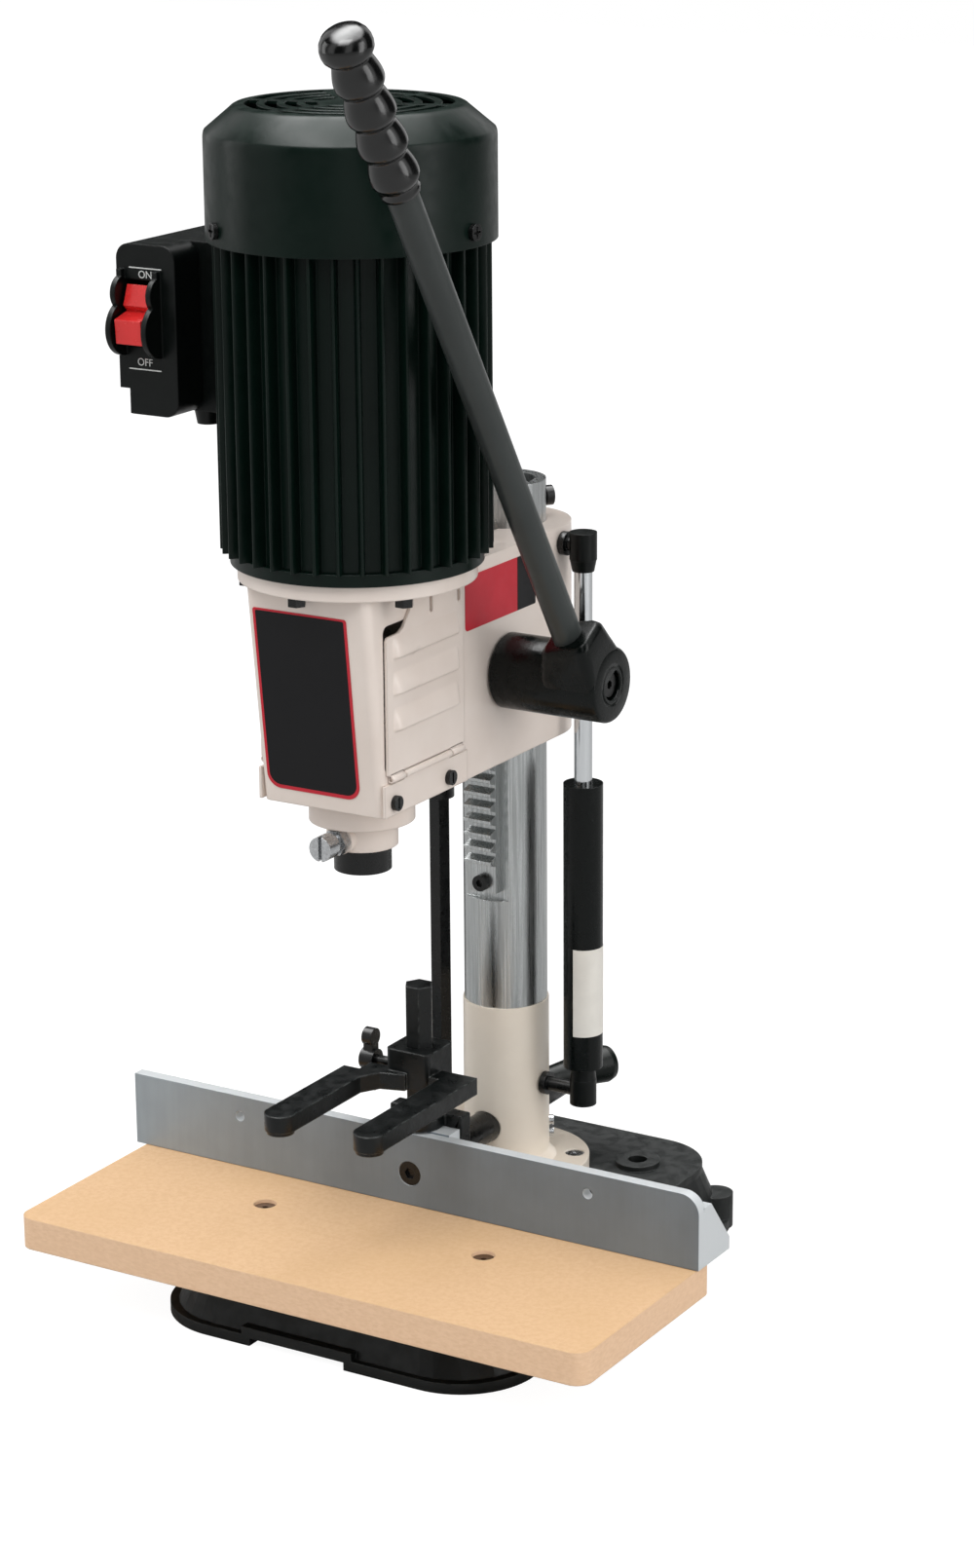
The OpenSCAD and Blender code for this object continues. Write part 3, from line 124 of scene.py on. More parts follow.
def build_relief():
    """Rounded edges with a fine grain on top, as a normal."""
    group, given, result = new_group("relief", [
        ("Scale", "NodeSocketFloat", 900.0), ("Depth", "NodeSocketFloat", 0.00005),
        ("Edge radius", "NodeSocketFloat", 0.0006)], [("Normal", "NodeSocketVector")])
    place = node(group, "ShaderNodeTexCoord").outputs["Object"]
    noise = node(group, "ShaderNodeTexNoise", {"Vector": place, "Scale": given["Scale"], "Detail": 2.0})
    edge = node(group, "ShaderNodeBevel", {"Radius": given["Edge radius"]}, samples=4)
    bump = node(group, "ShaderNodeBump", {"Strength": 1.0, "Distance": given["Depth"],
                "Height": noise.outputs["Fac"], "Normal": edge.outputs[0]})
    group.links.new(bump.outputs[0], result["Normal"])
    return group


def build_edge_mask():
    """1 on worn edges and 0 on open surfaces."""
    group, given, result = new_group("edge_mask", [
        ("Radius", "NodeSocketFloat", 0.0008), ("Break up", "NodeSocketFloat", 250.0)], [
        ("Mask", "NodeSocketFloat")])
    edge = node(group, "ShaderNodeBevel", {"Radius": given["Radius"]}, samples=4)
    plain = node(group, "ShaderNodeNewGeometry").outputs["Normal"]
    turn = node(group, "ShaderNodeVectorMath", {0: edge.outputs[0], 1: plain}, operation="DOT_PRODUCT")
    place = node(group, "ShaderNodeTexCoord").outputs["Object"]
    noise = node(group, "ShaderNodeTexNoise", {"Vector": place, "Scale": given["Break up"], "Detail": 4.0})
    bare = ramp(group, turn.outputs["Value"], 0.97, 0.80)
    patchy = ramp(group, noise.outputs["Fac"], 0.40, 0.62)
    group.links.new(math_node(group, "MULTIPLY", bare, patchy), result["Mask"])
    return group


GROUPS = {"mottle": build_mottle(), "relief": build_relief(), "edge_mask": build_edge_mask()}


def placed(tree, name, inputs):
    """A shader group in a material, with its own values."""
    made = tree.nodes.new("ShaderNodeGroup")
    made.node_tree = GROUPS[name]
    for key, value in inputs.items():
        made.inputs[key].default_value = value
    return made.outputs[0]


def new_material(name, **constants):
    """A material with a Principled shader whose constant sockets are set; gives it, its tree and shader."""
    material = bpy.data.materials.new(name)
    material.use_nodes = True
    shader = material.node_tree.nodes["Principled BSDF"]
    for key, value in constants.items():
        shader.inputs[key.replace("_", " ")].default_value = value
    return material, material.node_tree, shader


# ---- Materials ----

def painted(name, main, second, roughness, grain_scale, grain_depth, edge=0.0006, amount=0.3, **more):
    """Sprayed paint with blotches, orange peel and rounded edges."""
    material, tree, shader = new_material(name, **more)
    link = tree.links.new
    link(placed(tree, "mottle", {"Colour": main, "Second colour": second, "Scale": 28.0,
         "Amount": amount}), shader.inputs["Base Color"])
    link(placed(tree, "relief", {"Scale": grain_scale, "Depth": grain_depth, "Edge radius": edge}),
         shader.inputs["Normal"])
    link(ramp(tree, object_noise(tree, 120.0), 0.3, 0.7, roughness - 0.05, roughness + 0.06),
         shader.inputs["Roughness"])
    return material


def worn_black(name, main, bare, roughness, grain_scale, grain_depth, edge=0.0008, shine=0.36):
    """Black coating that shows lighter metal on its edges."""
    material, tree, shader = new_material(name, Specular_IOR_Level=shine)
    link = tree.links.new
    mask = placed(tree, "edge_mask", {"Radius": edge})
    mix = node(tree, "ShaderNodeMixRGB", {"Fac": mask, "Color1": main, "Color2": bare})
    link(mix.outputs[0], shader.inputs["Base Color"])
    link(placed(tree, "relief", {"Scale": grain_scale, "Depth": grain_depth, "Edge radius": edge}),
         shader.inputs["Normal"])
    link(ramp(tree, object_noise(tree, 160.0), 0.3, 0.7, roughness - 0.06, roughness + 0.08),
         shader.inputs["Roughness"])
    return material


def relief_from(tree, shader, height, depth, edge):
    """Rounded edges and a relief from a height, as the shader's normal."""
    rounded = node(tree, "ShaderNodeBevel", {"Radius": edge}, samples=4)
    bump = node(tree, "ShaderNodeBump", {"Distance": depth, "Height": height, "Normal": rounded.outputs[0]})
    tree.links.new(bump.outputs[0], shader.inputs["Normal"])


def metal(name, main, roughness, stretch, depth, edge=0.0004, streaks=0.25):
    """Machined metal with fine streaks, drawn out along an axis where stretch asks for it."""
    material, tree, shader = new_material(name, Metallic=1.0)
    link = tree.links.new
    lines = object_noise(tree, 900.0, 4.0, 0.6, stretch)
    dark = tuple(channel * (1 - streaks) for channel in main[:3]) + (1.0,)
    mix = node(tree, "ShaderNodeMixRGB", {"Fac": ramp(tree, lines, 0.3, 0.7), "Color1": main, "Color2": dark})
    link(mix.outputs[0], shader.inputs["Base Color"])
    link(ramp(tree, lines, 0.3, 0.7, roughness - 0.07, roughness + 0.09), shader.inputs["Roughness"])
    relief_from(tree, shader, lines, depth, edge)
    return material


def fence_material():
    """Ground front face with faint upright lines and a painted light gradient, lighter to the left; the rest is
    silver paint.
    """
    material, tree, shader = new_material("fence_steel")
    link = tree.links.new
    flat = node(tree, "ShaderNodeNewGeometry").outputs["True Normal"]
    facing = node(tree, "ShaderNodeSeparateXYZ", {0: flat})
    ground = ramp(tree, facing.outputs["Y"], -0.6, -0.95)
    lines = object_noise(tree, 300.0, 4.0, 0.6, (1.0, 1.0, 0.06))
    blotch = object_noise(tree, 14.0, 4.0, 0.6)
    place = node(tree, "ShaderNodeSeparateXYZ", {0: node(tree, "ShaderNodeTexCoord").outputs["Object"]})
    # Painted light: the ground face's colour runs lighter towards its left end, a painted reflection along X.
    face = node(tree, "ShaderNodeMixRGB", {"Fac": ramp(tree, place.outputs["X"], -0.20, 0.02),
                "Color1": colour(155, 164, 170), "Color2": colour(117, 127, 135)})
    shade = math_node(tree, "MULTIPLY", ramp(tree, lines, 0.3, 0.7, 0.95, 1.0),
                      ramp(tree, blotch, 0.35, 0.75, 1.0, 0.84))
    face = node(tree, "ShaderNodeVectorMath", {0: face.outputs[0], "Scale": shade}, operation="SCALE")
    both = node(tree, "ShaderNodeMixRGB", {"Fac": ground, "Color1": colour(206, 210, 212),
                "Color2": face.outputs[0]})
    link(both.outputs[0], shader.inputs["Base Color"])
    link(ramp(tree, ground, 0.0, 1.0, 0.10, 0.22), shader.inputs["Metallic"])
    link(ramp(tree, lines, 0.3, 0.7, 0.42, 0.50), shader.inputs["Roughness"])
    relief_from(tree, shader, lines, 0.000002, 0.0007)
    return material


def fibreboard_material():
    """Pressed fibreboard: a faint fleck on its faces, pinker and coarser on its sawn edges."""
    material, tree, shader = new_material("fibreboard", Specular_IOR_Level=0.3)
    link = tree.links.new
    facing = node(tree, "ShaderNodeSeparateXYZ", {0: node(tree, "ShaderNodeNewGeometry").outputs["Normal"]})
    side = math_node(tree, "SUBTRACT", 1.0, math_node(tree, "ABSOLUTE", facing.outputs["Z"]))
    fleck = object_noise(tree, 300.0, 5.0, 0.7)
    blotch = object_noise(tree, 16.0, 5.0, 0.65)
    face = node(tree, "ShaderNodeMixRGB", {"Fac": ramp(tree, fleck, 0.35, 0.68),
                "Color1": colour(225, 188, 147), "Color2": colour(218, 179, 138)})
    face = node(tree, "ShaderNodeMixRGB", {"Fac": ramp(tree, blotch, 0.42, 0.72, 0.0, 0.55),
                "Color1": face.outputs[0], "Color2": colour(215, 177, 133)})
    saw = object_noise(tree, 260.0, 5.0, 0.7, (1.0, 1.0, 2.5))
    edge = node(tree, "ShaderNodeMixRGB", {"Fac": ramp(tree, saw, 0.3, 0.7),
                "Color1": colour(238, 202, 168), "Color2": colour(228, 190, 154)})
    both = node(tree, "ShaderNodeMixRGB", {"Fac": ramp(tree, side, 0.3, 0.8), "Color1": face.outputs[0],
                "Color2": edge.outputs[0]})
    link(both.outputs[0], shader.inputs["Base Color"])
    link(ramp(tree, fleck, 0.3, 0.7, 0.55, 0.7), shader.inputs["Roughness"])
    relief_from(tree, shader, fleck, 0.00004, 0.001)
    return material


def plastic(name, main, roughness, edge=0.0008, depth=0.00002, **more):
    """Moulded plastic with a faint texture."""
    material, tree, shader = new_material(name, **more)
    link = tree.links.new
    second = tuple(channel * 0.8 for channel in main[:3]) + (1.0,)
    link(placed(tree, "mottle", {"Colour": main, "Second colour": second, "Scale": 60.0, "Amount": 0.4}),
         shader.inputs["Base Color"])
    link(placed(tree, "relief", {"Scale": 1500.0, "Depth": depth, "Edge radius": edge}),
         shader.inputs["Normal"])
    link(ramp(tree, object_noise(tree, 200.0), 0.3, 0.7, roughness - 0.04, roughness + 0.05),
         shader.inputs["Roughness"])
    return material


ALONG_Z = (1.0, 1.0, 0.02)

MATERIALS = {
    "cream_paint": painted("cream_paint", colour(225, 213, 204), colour(215, 201, 191), 0.34,
                           650.0, 0.00003, 0.0012, 0.5, Coat_Weight=0.15),
    "black_casting": worn_black("black_casting", colour(7, 11, 10), colour(62, 66, 65), 0.46, 620.0, 0.00005),
    "motor_black": painted("motor_black", colour(6, 21, 16), colour(4, 11, 8), 0.33, 700.0, 0.00002,
                           Specular_IOR_Level=0.17),
    "black_oxide": worn_black("black_oxide", colour(8, 9, 9), colour(80, 82, 82), 0.28, 900.0, 0.00003,
                              0.0004),
    "lever_grey": painted("lever_grey", colour(52, 56, 55), colour(40, 44, 43), 0.34, 700.0, 0.00003,
                          Specular_IOR_Level=0.3),
    "ground_steel": metal("ground_steel", colour(190, 193, 193), 0.29, ALONG_Z, 0.000002, streaks=0.28),
    "fence_steel": fence_material(),
    "zinc_steel": metal("zinc_steel", colour(200, 202, 204), 0.26, (1, 1, 1), 0.00001),
    "chrome": metal("chrome", colour(215, 218, 220), 0.10, ALONG_Z, 0.000001, streaks=0.08),
    "bronze": metal("bronze", colour(190, 150, 90), 0.30, (1, 1, 1), 0.00001),
    "winding_iron": painted("winding_iron", colour(110, 76, 46), colour(60, 50, 44), 0.45, 900.0, 0.00005),
    "fibreboard": fibreboard_material(),
    "black_plastic": plastic("black_plastic", colour(8, 12, 11), 0.34, 0.0012, Specular_IOR_Level=0.2),
    "grey_plastic": plastic("grey_plastic", colour(5, 12, 9), 0.30, 0.0015, Specular_IOR_Level=0.2),
    "grip_plastic": plastic("grip_plastic", colour(4, 5, 5), 0.17, 0.0004, 0.000004, Specular_IOR_Level=0.55),
    "red_plastic": plastic("red_plastic", colour(212, 44, 44), 0.24, 0.0006),
}
HUB_BLACK = worn_black("hub_black", colour(4, 8, 7), colour(58, 62, 61), 0.24, 520.0, 0.00006, 0.0009, 0.2)
COUNTERSUNK = worn_black("countersunk_screws", colour(74, 52, 34), colour(120, 92, 66), 0.5, 900.0, 0.00003)
# Lighter, yellower copy of the cream paint for the column sleeve: a warmer tint plus painted light that brightens
# the sleeve.
WARM_AND_LIT_CREAM = painted("warm_and_lit_cream", colour(237, 226, 211), colour(228, 215, 199), 0.34, 650.0, 0.00003, 0.0012,
                     0.5, Coat_Weight=0.15)
FORK_BLACK = worn_black("fork_black", colour(5, 8, 8), colour(84, 88, 87), 0.33, 430.0, 0.00011, 0.0014, 0.32)
OWN_LOOK = {"table_screws": COUNTERSUNK, "gas_tube": HUB_BLACK, "column_support": WARM_AND_LIT_CREAM,
            "holddown_fork": FORK_BLACK, "holddown_bracket": FORK_BLACK, "holddown_post": FORK_BLACK}
PANEL_BLACK = plastic("panel_black", colour(19, 19, 21), 0.34, 0.0001, 0.000002, Specular_IOR_Level=0.18)
PANEL_RED = plastic("panel_red", colour(193, 40, 54), 0.34, 0.0001, 0.000002, Specular_IOR_Level=0.25)
PANEL_WHITE = plastic("panel_white", colour(226, 222, 214), 0.45, 0.0001, 0.000002)
LETTER_WHITE = plastic("letter_white", colour(205, 208, 206), 0.5, 0.0001, 0.000002)

SLOTS = {row["node"]: row["material_slot"] for row in frame["record"]["subparts"]}
for name, shown in frame["nodes"].items():
    shown.data.materials.clear()
    shown.data.materials.append(OWN_LOOK.get(name, MATERIALS[SLOTS[name]]))


# ---- Mesh helpers ----

def lathe(profile, steps=96):
    """A closed bmesh from (radius, height) points turned round Z; points on the axis close it."""
    shape = bmesh.new()
    rings = []
    for radius, height in profile:
        if radius < 1e-7:
            rings.append([shape.verts.new((0, 0, height))] * steps)
            continue
        turns = [2 * math.pi * k / steps for k in range(steps)]
        rings.append([shape.verts.new((radius * math.cos(a), radius * math.sin(a), height)) for a in turns])
    for low, high in zip(rings, rings[1:]):
        for k in range(steps):
            after = (k + 1) % steps
            corners = [low[k], low[after], high[after], high[k]]
            distinct = list(dict.fromkeys(corners))
            if len(distinct) > 2:
                shape.faces.new(distinct)
    return shape


def prism(outline, low, high):
    """A closed bmesh: an outline of (x, y) points drawn up from one height to another."""
    shape = bmesh.new()
    bottom = [shape.verts.new((x, y, low)) for x, y in outline]
    top = [shape.verts.new((x, y, high)) for x, y in outline]
    shape.faces.new(bottom[::-1])
    shape.faces.new(top)
    for k in range(len(outline)):
        after = (k + 1) % len(outline)
        shape.faces.new((bottom[k], bottom[after], top[after], top[k]))
    return shape


def arc(centre, radius, start, end, steps=8):
    """Points along an arc, its angles in degrees."""
    turns = [math.radians(start + (end - start) * k / steps) for k in range(steps + 1)]
    return [(centre[0] + radius * math.cos(a), centre[1] + radius * math.sin(a)) for a in turns]


def rounded_outline(x0, y0, x1, y1, radii, steps=8):
    """A rectangle with its own radius at each corner: low left, low right, high right, high left."""
    a, b, c, d = radii
    return (arc((x0 + a, y0 + a), a, 180, 270, steps) + arc((x1 - b, y0 + b), b, 270, 360, steps)
            + arc((x1 - c, y1 - c), c, 0, 90, steps) + arc((x0 + d, y1 - d), d, 90, 180, steps))


def soften(shape, width, segments=3, angle=30):
    """Rounds the edges that turn by more than an angle."""
    bmesh.ops.remove_doubles(shape, verts=shape.verts, dist=1e-7)
    bmesh.ops.recalc_face_normals(shape, faces=shape.faces)
    edges = [e for e in shape.edges if len(e.link_faces) == 2 and e.calc_face_angle(0) > math.radians(angle)]
    bmesh.ops.bevel(shape, geom=edges, offset=width, segments=segments, profile=0.5,
                    affect="EDGES", clamp_overlap=True)
    return shape


def joined(shapes):
    """One bmesh from several."""
    whole = bmesh.new()
    for shape in shapes:
        part = bpy.data.meshes.new("part")
        shape.to_mesh(part)
        shape.free()
        whole.from_mesh(part)
        bpy.data.meshes.remove(part)
    return whole


def moved(shape, matrix):
    bmesh.ops.transform(shape, matrix=matrix, verts=shape.verts)
    return shape


def to_mesh(name, shape, sharp=32):
    """A mesh with outward faces, smooth but for edges that turn by more than the sharp angle."""
    bmesh.ops.remove_doubles(shape, verts=shape.verts, dist=1e-7)
    bmesh.ops.recalc_face_normals(shape, faces=shape.faces)
    for face in shape.faces:
        face.smooth = True
    for edge in shape.edges:
        if len(edge.link_faces) == 2 and edge.calc_face_angle(0) > math.radians(sharp):
            edge.smooth = False
    mesh = bpy.data.meshes.new(name)
    shape.to_mesh(mesh)
    shape.free()
    return mesh


def piece(name, shape, body, slot, *stands_for, sharp=32, material=None):
    """A finished piece at the origin that rides on a body and stands for CAD nodes."""
    mesh = shape if isinstance(shape, bpy.types.Mesh) else to_mesh(name, shape, sharp)
    mesh.name = name
    mesh.materials.clear()
    mesh.materials.append(material or MATERIALS[slot])
    made = bpy.data.objects.new(name, mesh)
    bpy.context.scene.collection.objects.link(made)
    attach(made, body)
    if stands_for:
        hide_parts(*stands_for)


def cut_by(shape, *cutters):
    """A shape less its cutters, each a bmesh."""
    def holder(name, part):
        made = bpy.data.objects.new(name, to_mesh(name, part))
        bpy.context.scene.collection.objects.link(made)
        return made
    whole = holder("whole", shape)
    tools = [holder("cutter", cutter) for cutter in cutters]
    for tool in tools:
        step = whole.modifiers.new("cut", "BOOLEAN")
        step.operation, step.solver, step.object = "DIFFERENCE", "EXACT", tool
    result = bpy.data.meshes.new_from_object(whole.evaluated_get(bpy.context.evaluated_depsgraph_get()))
    for made in (whole, *tools):
        bpy.data.objects.remove(made)
    after = bmesh.new()
    after.from_mesh(result)
    bpy.data.meshes.remove(result)
    return after


def centre_of(node_name):
    low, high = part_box(node_name)
    return (low + high) / 2


def joint_place(name):
    return Vector(next(j for j in frame["joints"] if j["name"] == name)["pos_m"])


# ---- Geometry Nodes ----

def new_tree(name, inputs):
    """An empty Geometry Nodes tree with named inputs; gives the tree, its inputs and its output."""
    tree = bpy.data.node_groups.new(name, "GeometryNodeTree")
    tree.interface.new_socket("Geometry", in_out="INPUT", socket_type="NodeSocketGeometry")
    for label, kind in inputs:
        tree.interface.new_socket(label, in_out="INPUT", socket_type=kind)
    tree.interface.new_socket("Geometry", in_out="OUTPUT", socket_type="NodeSocketGeometry")
    return tree, tree.nodes.new("NodeGroupInput").outputs, tree.nodes.new("NodeGroupOutput").inputs


def grown(tree, values):
    """The mesh that a Geometry Nodes tree makes with these input values."""
    seed = bpy.data.objects.new("seed", bpy.data.meshes.new("seed"))
    bpy.context.scene.collection.objects.link(seed)
    step = seed.modifiers.new("grow", "NODES")
    step.node_group = tree
    for item in tree.interface.items_tree:
        if item.in_out == "INPUT" and item.name in values:
            step[item.identifier] = values[item.name]
    result = bpy.data.meshes.new_from_object(seed.evaluated_get(bpy.context.evaluated_depsgraph_get()))
    bpy.data.objects.remove(seed)
    return result


def xyz(tree, x=0.0, y=0.0, z=0.0):
    return node(tree, "ShaderNodeCombineXYZ", {"X": x, "Y": y, "Z": z}).outputs[0]


def fin_tree():
    """Upright tapered fins with round tips, set round a drum."""
    tree, given, result = new_tree("cooling_fins", [
        ("Fin count", "NodeSocketInt"), ("Drum radius", "NodeSocketFloat"), ("Tip radius", "NodeSocketFloat"),
        ("Root thickness", "NodeSocketFloat"), ("Tip thickness", "NodeSocketFloat"),
        ("Low", "NodeSocketFloat"), ("High", "NodeSocketFloat"), ("Material", "NodeSocketMaterial")])
    height = math_node(tree, "SUBTRACT", given["High"], given["Low"])
    middle = math_node(tree, "MULTIPLY", math_node(tree, "ADD", given["High"], given["Low"]), 0.5)
    depth = math_node(tree, "SUBTRACT", given["Tip radius"], given["Drum radius"])
    block = node(tree, "GeometryNodeMeshCube", {"Vertices X": 3, "Vertices Y": 7, "Vertices Z": 2,
                 "Size": xyz(tree, depth, given["Root thickness"], height)})
    place = node(tree, "ShaderNodeSeparateXYZ", {0: node(tree, "GeometryNodeInputPosition").outputs[0]})
    reach = math_node(tree, "ADD", math_node(tree, "DIVIDE", place.outputs["X"], depth), 0.5)
    slim = math_node(tree, "DIVIDE", given["Tip thickness"], given["Root thickness"])
    thinned = math_node(tree, "MULTIPLY", reach, math_node(tree, "SUBTRACT", slim, 1.0))
    taper = math_node(tree, "ADD", 1.0, thinned)
    half_root = math_node(tree, "MULTIPLY", given["Root thickness"], 0.5)
    side = math_node(tree, "DIVIDE", place.outputs["Y"], half_root)
    round_off = math_node(tree, "SQRT", math_node(tree, "SUBTRACT", 1.0,
                          math_node(tree, "MULTIPLY", math_node(tree, "MULTIPLY", side, side), 0.999)))
    back = math_node(tree, "MULTIPLY", math_node(tree, "SUBTRACT", 1.0, round_off),
                     math_node(tree, "MULTIPLY", given["Tip thickness"], 0.5))
    at_tip = math_node(tree, "GREATER_THAN", reach, 0.99)
    x = math_node(tree, "SUBTRACT", place.outputs["X"], math_node(tree, "MULTIPLY", back, at_tip))
    y = math_node(tree, "MULTIPLY", place.outputs["Y"], taper)
    fin = node(tree, "GeometryNodeSetPosition", {"Geometry": block.outputs[0],
               "Position": xyz(tree, x, y, place.outputs["Z"])})
    out = math_node(tree, "ADD", given["Drum radius"], math_node(tree, "MULTIPLY", depth, 0.5))
    fin = node(tree, "GeometryNodeTransform", {"Geometry": fin.outputs[0],
               "Translation": xyz(tree, out, 0.0, middle)})
    points = node(tree, "GeometryNodePoints", {"Count": given["Fin count"]})
    step = math_node(tree, "DIVIDE", 2 * math.pi, given["Fin count"])
    index = math_node(tree, "ADD", node(tree, "GeometryNodeInputIndex").outputs[0], 0.5)
    turned = node(tree, "GeometryNodeInstanceOnPoints", {
                  "Points": points.outputs[0], "Instance": fin.outputs[0],
                  "Rotation": xyz(tree, 0.0, 0.0, math_node(tree, "MULTIPLY", index, step))})
    root_overlap = 0.6 * MM
    drum = node(tree, "GeometryNodeMeshCylinder", {"Vertices": 144, "Depth": height,
                "Radius": math_node(tree, "ADD", given["Drum radius"], root_overlap)})
    drum = node(tree, "GeometryNodeTransform", {"Geometry": drum.outputs[0],
                "Translation": xyz(tree, 0.0, 0.0, middle)})
    both = tree.nodes.new("GeometryNodeJoinGeometry")
    tree.links.new(turned.outputs[0], both.inputs[0])
    tree.links.new(drum.outputs[0], both.inputs[0])
    real = node(tree, "GeometryNodeRealizeInstances", {0: both.outputs[0]})
    dressed = node(tree, "GeometryNodeSetMaterial", {"Geometry": real.outputs[0],
                   "Material": given["Material"]})
    tree.links.new(dressed.outputs[0], result["Geometry"])
    return tree


# ---- Motor ----

def build_motor_housing():
    """Thirty-six fins round the housing, out to the solid's own radius."""
    low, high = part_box("motor_housing")
    axis = centre_of("motor_housing")
    tip_radius, fin_depth = (high.x - low.x) / 2, 8 * MM
    mesh = grown(fin_tree(), {
                 "Fin count": 36, "Drum radius": tip_radius - fin_depth, "Tip radius": tip_radius,
                 "Root thickness": 3.2 * MM, "Tip thickness": 2.0 * MM, "Low": low.z, "High": high.z,
                 "Material": MATERIALS["motor_black"]})
    shape = bmesh.new()
    shape.from_mesh(mesh)
    bpy.data.meshes.remove(mesh)
    moved(shape, Matrix.Translation((axis.x, axis.y, 0)))
    piece("finned_housing", shape, "head", "motor_black", "motor_housing")


def build_fan_cover():
    """Spun cover: a skirt, a bevel with soft shoulders and a flat top pierced by ring slots."""
    low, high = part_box("fan_cover")
    axis = centre_of("fan_cover")
    radius, wall = (high.x - low.x) / 2, 2.0 * MM
    bevel, drop = 16 * MM, 12.5 * MM
    flat = radius - bevel
    shoulder = high.z - drop - 1 * MM
    half_slot, lip = 3 * MM, 0.3 * MM
    slots = [flat - (8 + 10 * k) * MM for k in range(4)]
    rim, top, under = slots[0] + half_slot, high.z, high.z - wall
    outer = [(radius, low.z), (radius, shoulder - 3 * MM)]
    outer += [(radius - 1.2 * MM * (1 - math.cos(t)), shoulder - 3 * MM + 4.2 * MM * math.sin(t))
              for t in [math.pi / 8 * k for k in range(1, 4)]]
    outer += [(flat + 3 * MM, top - 2.4 * MM), (flat + 1.4 * MM, top - 1.0 * MM), (flat, top - lip),
              (flat - 1.5 * MM, top), (rim, top)]
    inner = [(rim, under), (flat - 1 * MM, under), (radius - wall, shoulder - 2 * MM), (radius - wall, low.z)]
    parts = [lathe(outer + inner + [(radius, low.z)], 144)]
    for outside, inside in zip(slots, slots[1:]):
        wide, slim = outside - half_slot, inside + half_slot
        parts.append(lathe([(wide, under), (wide, top - lip), (wide - 0.5 * MM, top), (slim + 0.5 * MM, top),
                            (slim, top - lip), (slim, under), (wide, under)], 144))
    disc = slots[-1] - half_slot
    parts.append(lathe([(0.0, under), (disc, under), (disc, top - lip), (disc - 0.5 * MM, top),
                        (0.0, top)], 96))
    reach = slots[0] + 4 * MM
    bar = rounded_outline(-reach, -3 * MM, reach, 3 * MM, [0.5 * MM] * 4, 2)
    for k in range(3):
        spoke = prism(bar, under + 0.1 * MM, top - 0.1 * MM)
        parts.append(moved(spoke, Matrix.Rotation(math.radians(15 + 60 * k), 4, "Z")))
    whole = moved(joined(parts), Matrix.Translation((axis.x, axis.y, 0)))
    piece("spun_fan_cover", whole, "head", "motor_black", "fan_cover")


# ---- Lever ----

GRIP_LEN = 95 * MM
KNOB_R = 13 * MM


def lever_frame():
    """Where the lever starts and leans, with local Z along it, and its reach to the grip's end."""
    axis = joint_place("lever_turn")
    low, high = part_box("lever_grip")
    knob = Vector(((low.x + high.x) / 2, low.y + KNOB_R, high.z - KNOB_R))
    lean = math.atan2(axis.y - knob.y, knob.z - axis.z)
    root = Vector((knob.x, axis.y, axis.z))
    return Matrix.Translation(root) @ Matrix.Rotation(lean, 4, "X"), (knob - root).length + KNOB_R


def build_grip():
    """Dipped grip with finger swells and a flat-domed end."""
    place, reach = lever_frame()
    start, knob = reach - GRIP_LEN, reach - 17.5 * MM
    swells, steps = 4, 18
    neck, bulge, crest = 9.6 * MM, 2.6 * MM, 0.30
    profile = [(0.0, start), (9.0 * MM, start), (9.9 * MM, start + 0.6 * MM), (10.1 * MM, start + 3 * MM)]
    first, last = start + 5 * MM, knob
    for k in range(swells * steps + 1):
        share = k / (swells * steps)
        phase = (share * swells) % 1.0
        if phase < crest:
            lift = math.sin(math.pi / 2 * phase / crest) ** 1.2
        else:
            lift = math.cos(math.pi / 2 * (phase - crest) / (1 - crest)) ** 1.3
        profile.append((neck + bulge * lift, first + (last - first) * share))
    profile += [(9.8 * MM, knob + 0.5 * MM), (11.4 * MM, knob + 1.8 * MM), (12.5 * MM, knob + 3.5 * MM),
                (12.9 * MM, knob + 5.6 * MM), (12.8 * MM, knob + 8.0 * MM), (12.0 * MM, knob + 10.6 * MM),
                (10.4 * MM, knob + 12.9 * MM), (7.8 * MM, knob + 14.6 * MM), (4.2 * MM, knob + 15.4 * MM),
                (0.0, knob + 15.6 * MM)]
    piece("dipped_grip", moved(lathe(profile, 64), place), "lever", "grip_plastic", "lever_grip", sharp=60)


def stacked(rings, steps):
    """A closed bmesh through rounded rectangles: height, slope along x, x low, x high, half depth, corner."""
    shape = bmesh.new()
    loops = []
    for height, slope, x0, x1, deep, corner in rings:
        outline = rounded_outline(x0 * MM, -deep * MM, x1 * MM, deep * MM, [corner * MM] * 4, steps)
        loops.append([shape.verts.new((x, y, height * MM + slope * x)) for x, y in outline])
    for under, over in zip(loops, loops[1:]):
        for k in range(len(under)):
            after = (k + 1) % len(under)
            shape.faces.new((under[k], under[after], over[after], over[k]))
    shape.faces.new(loops[0][::-1])
    shape.faces.new(loops[-1])
    return shape


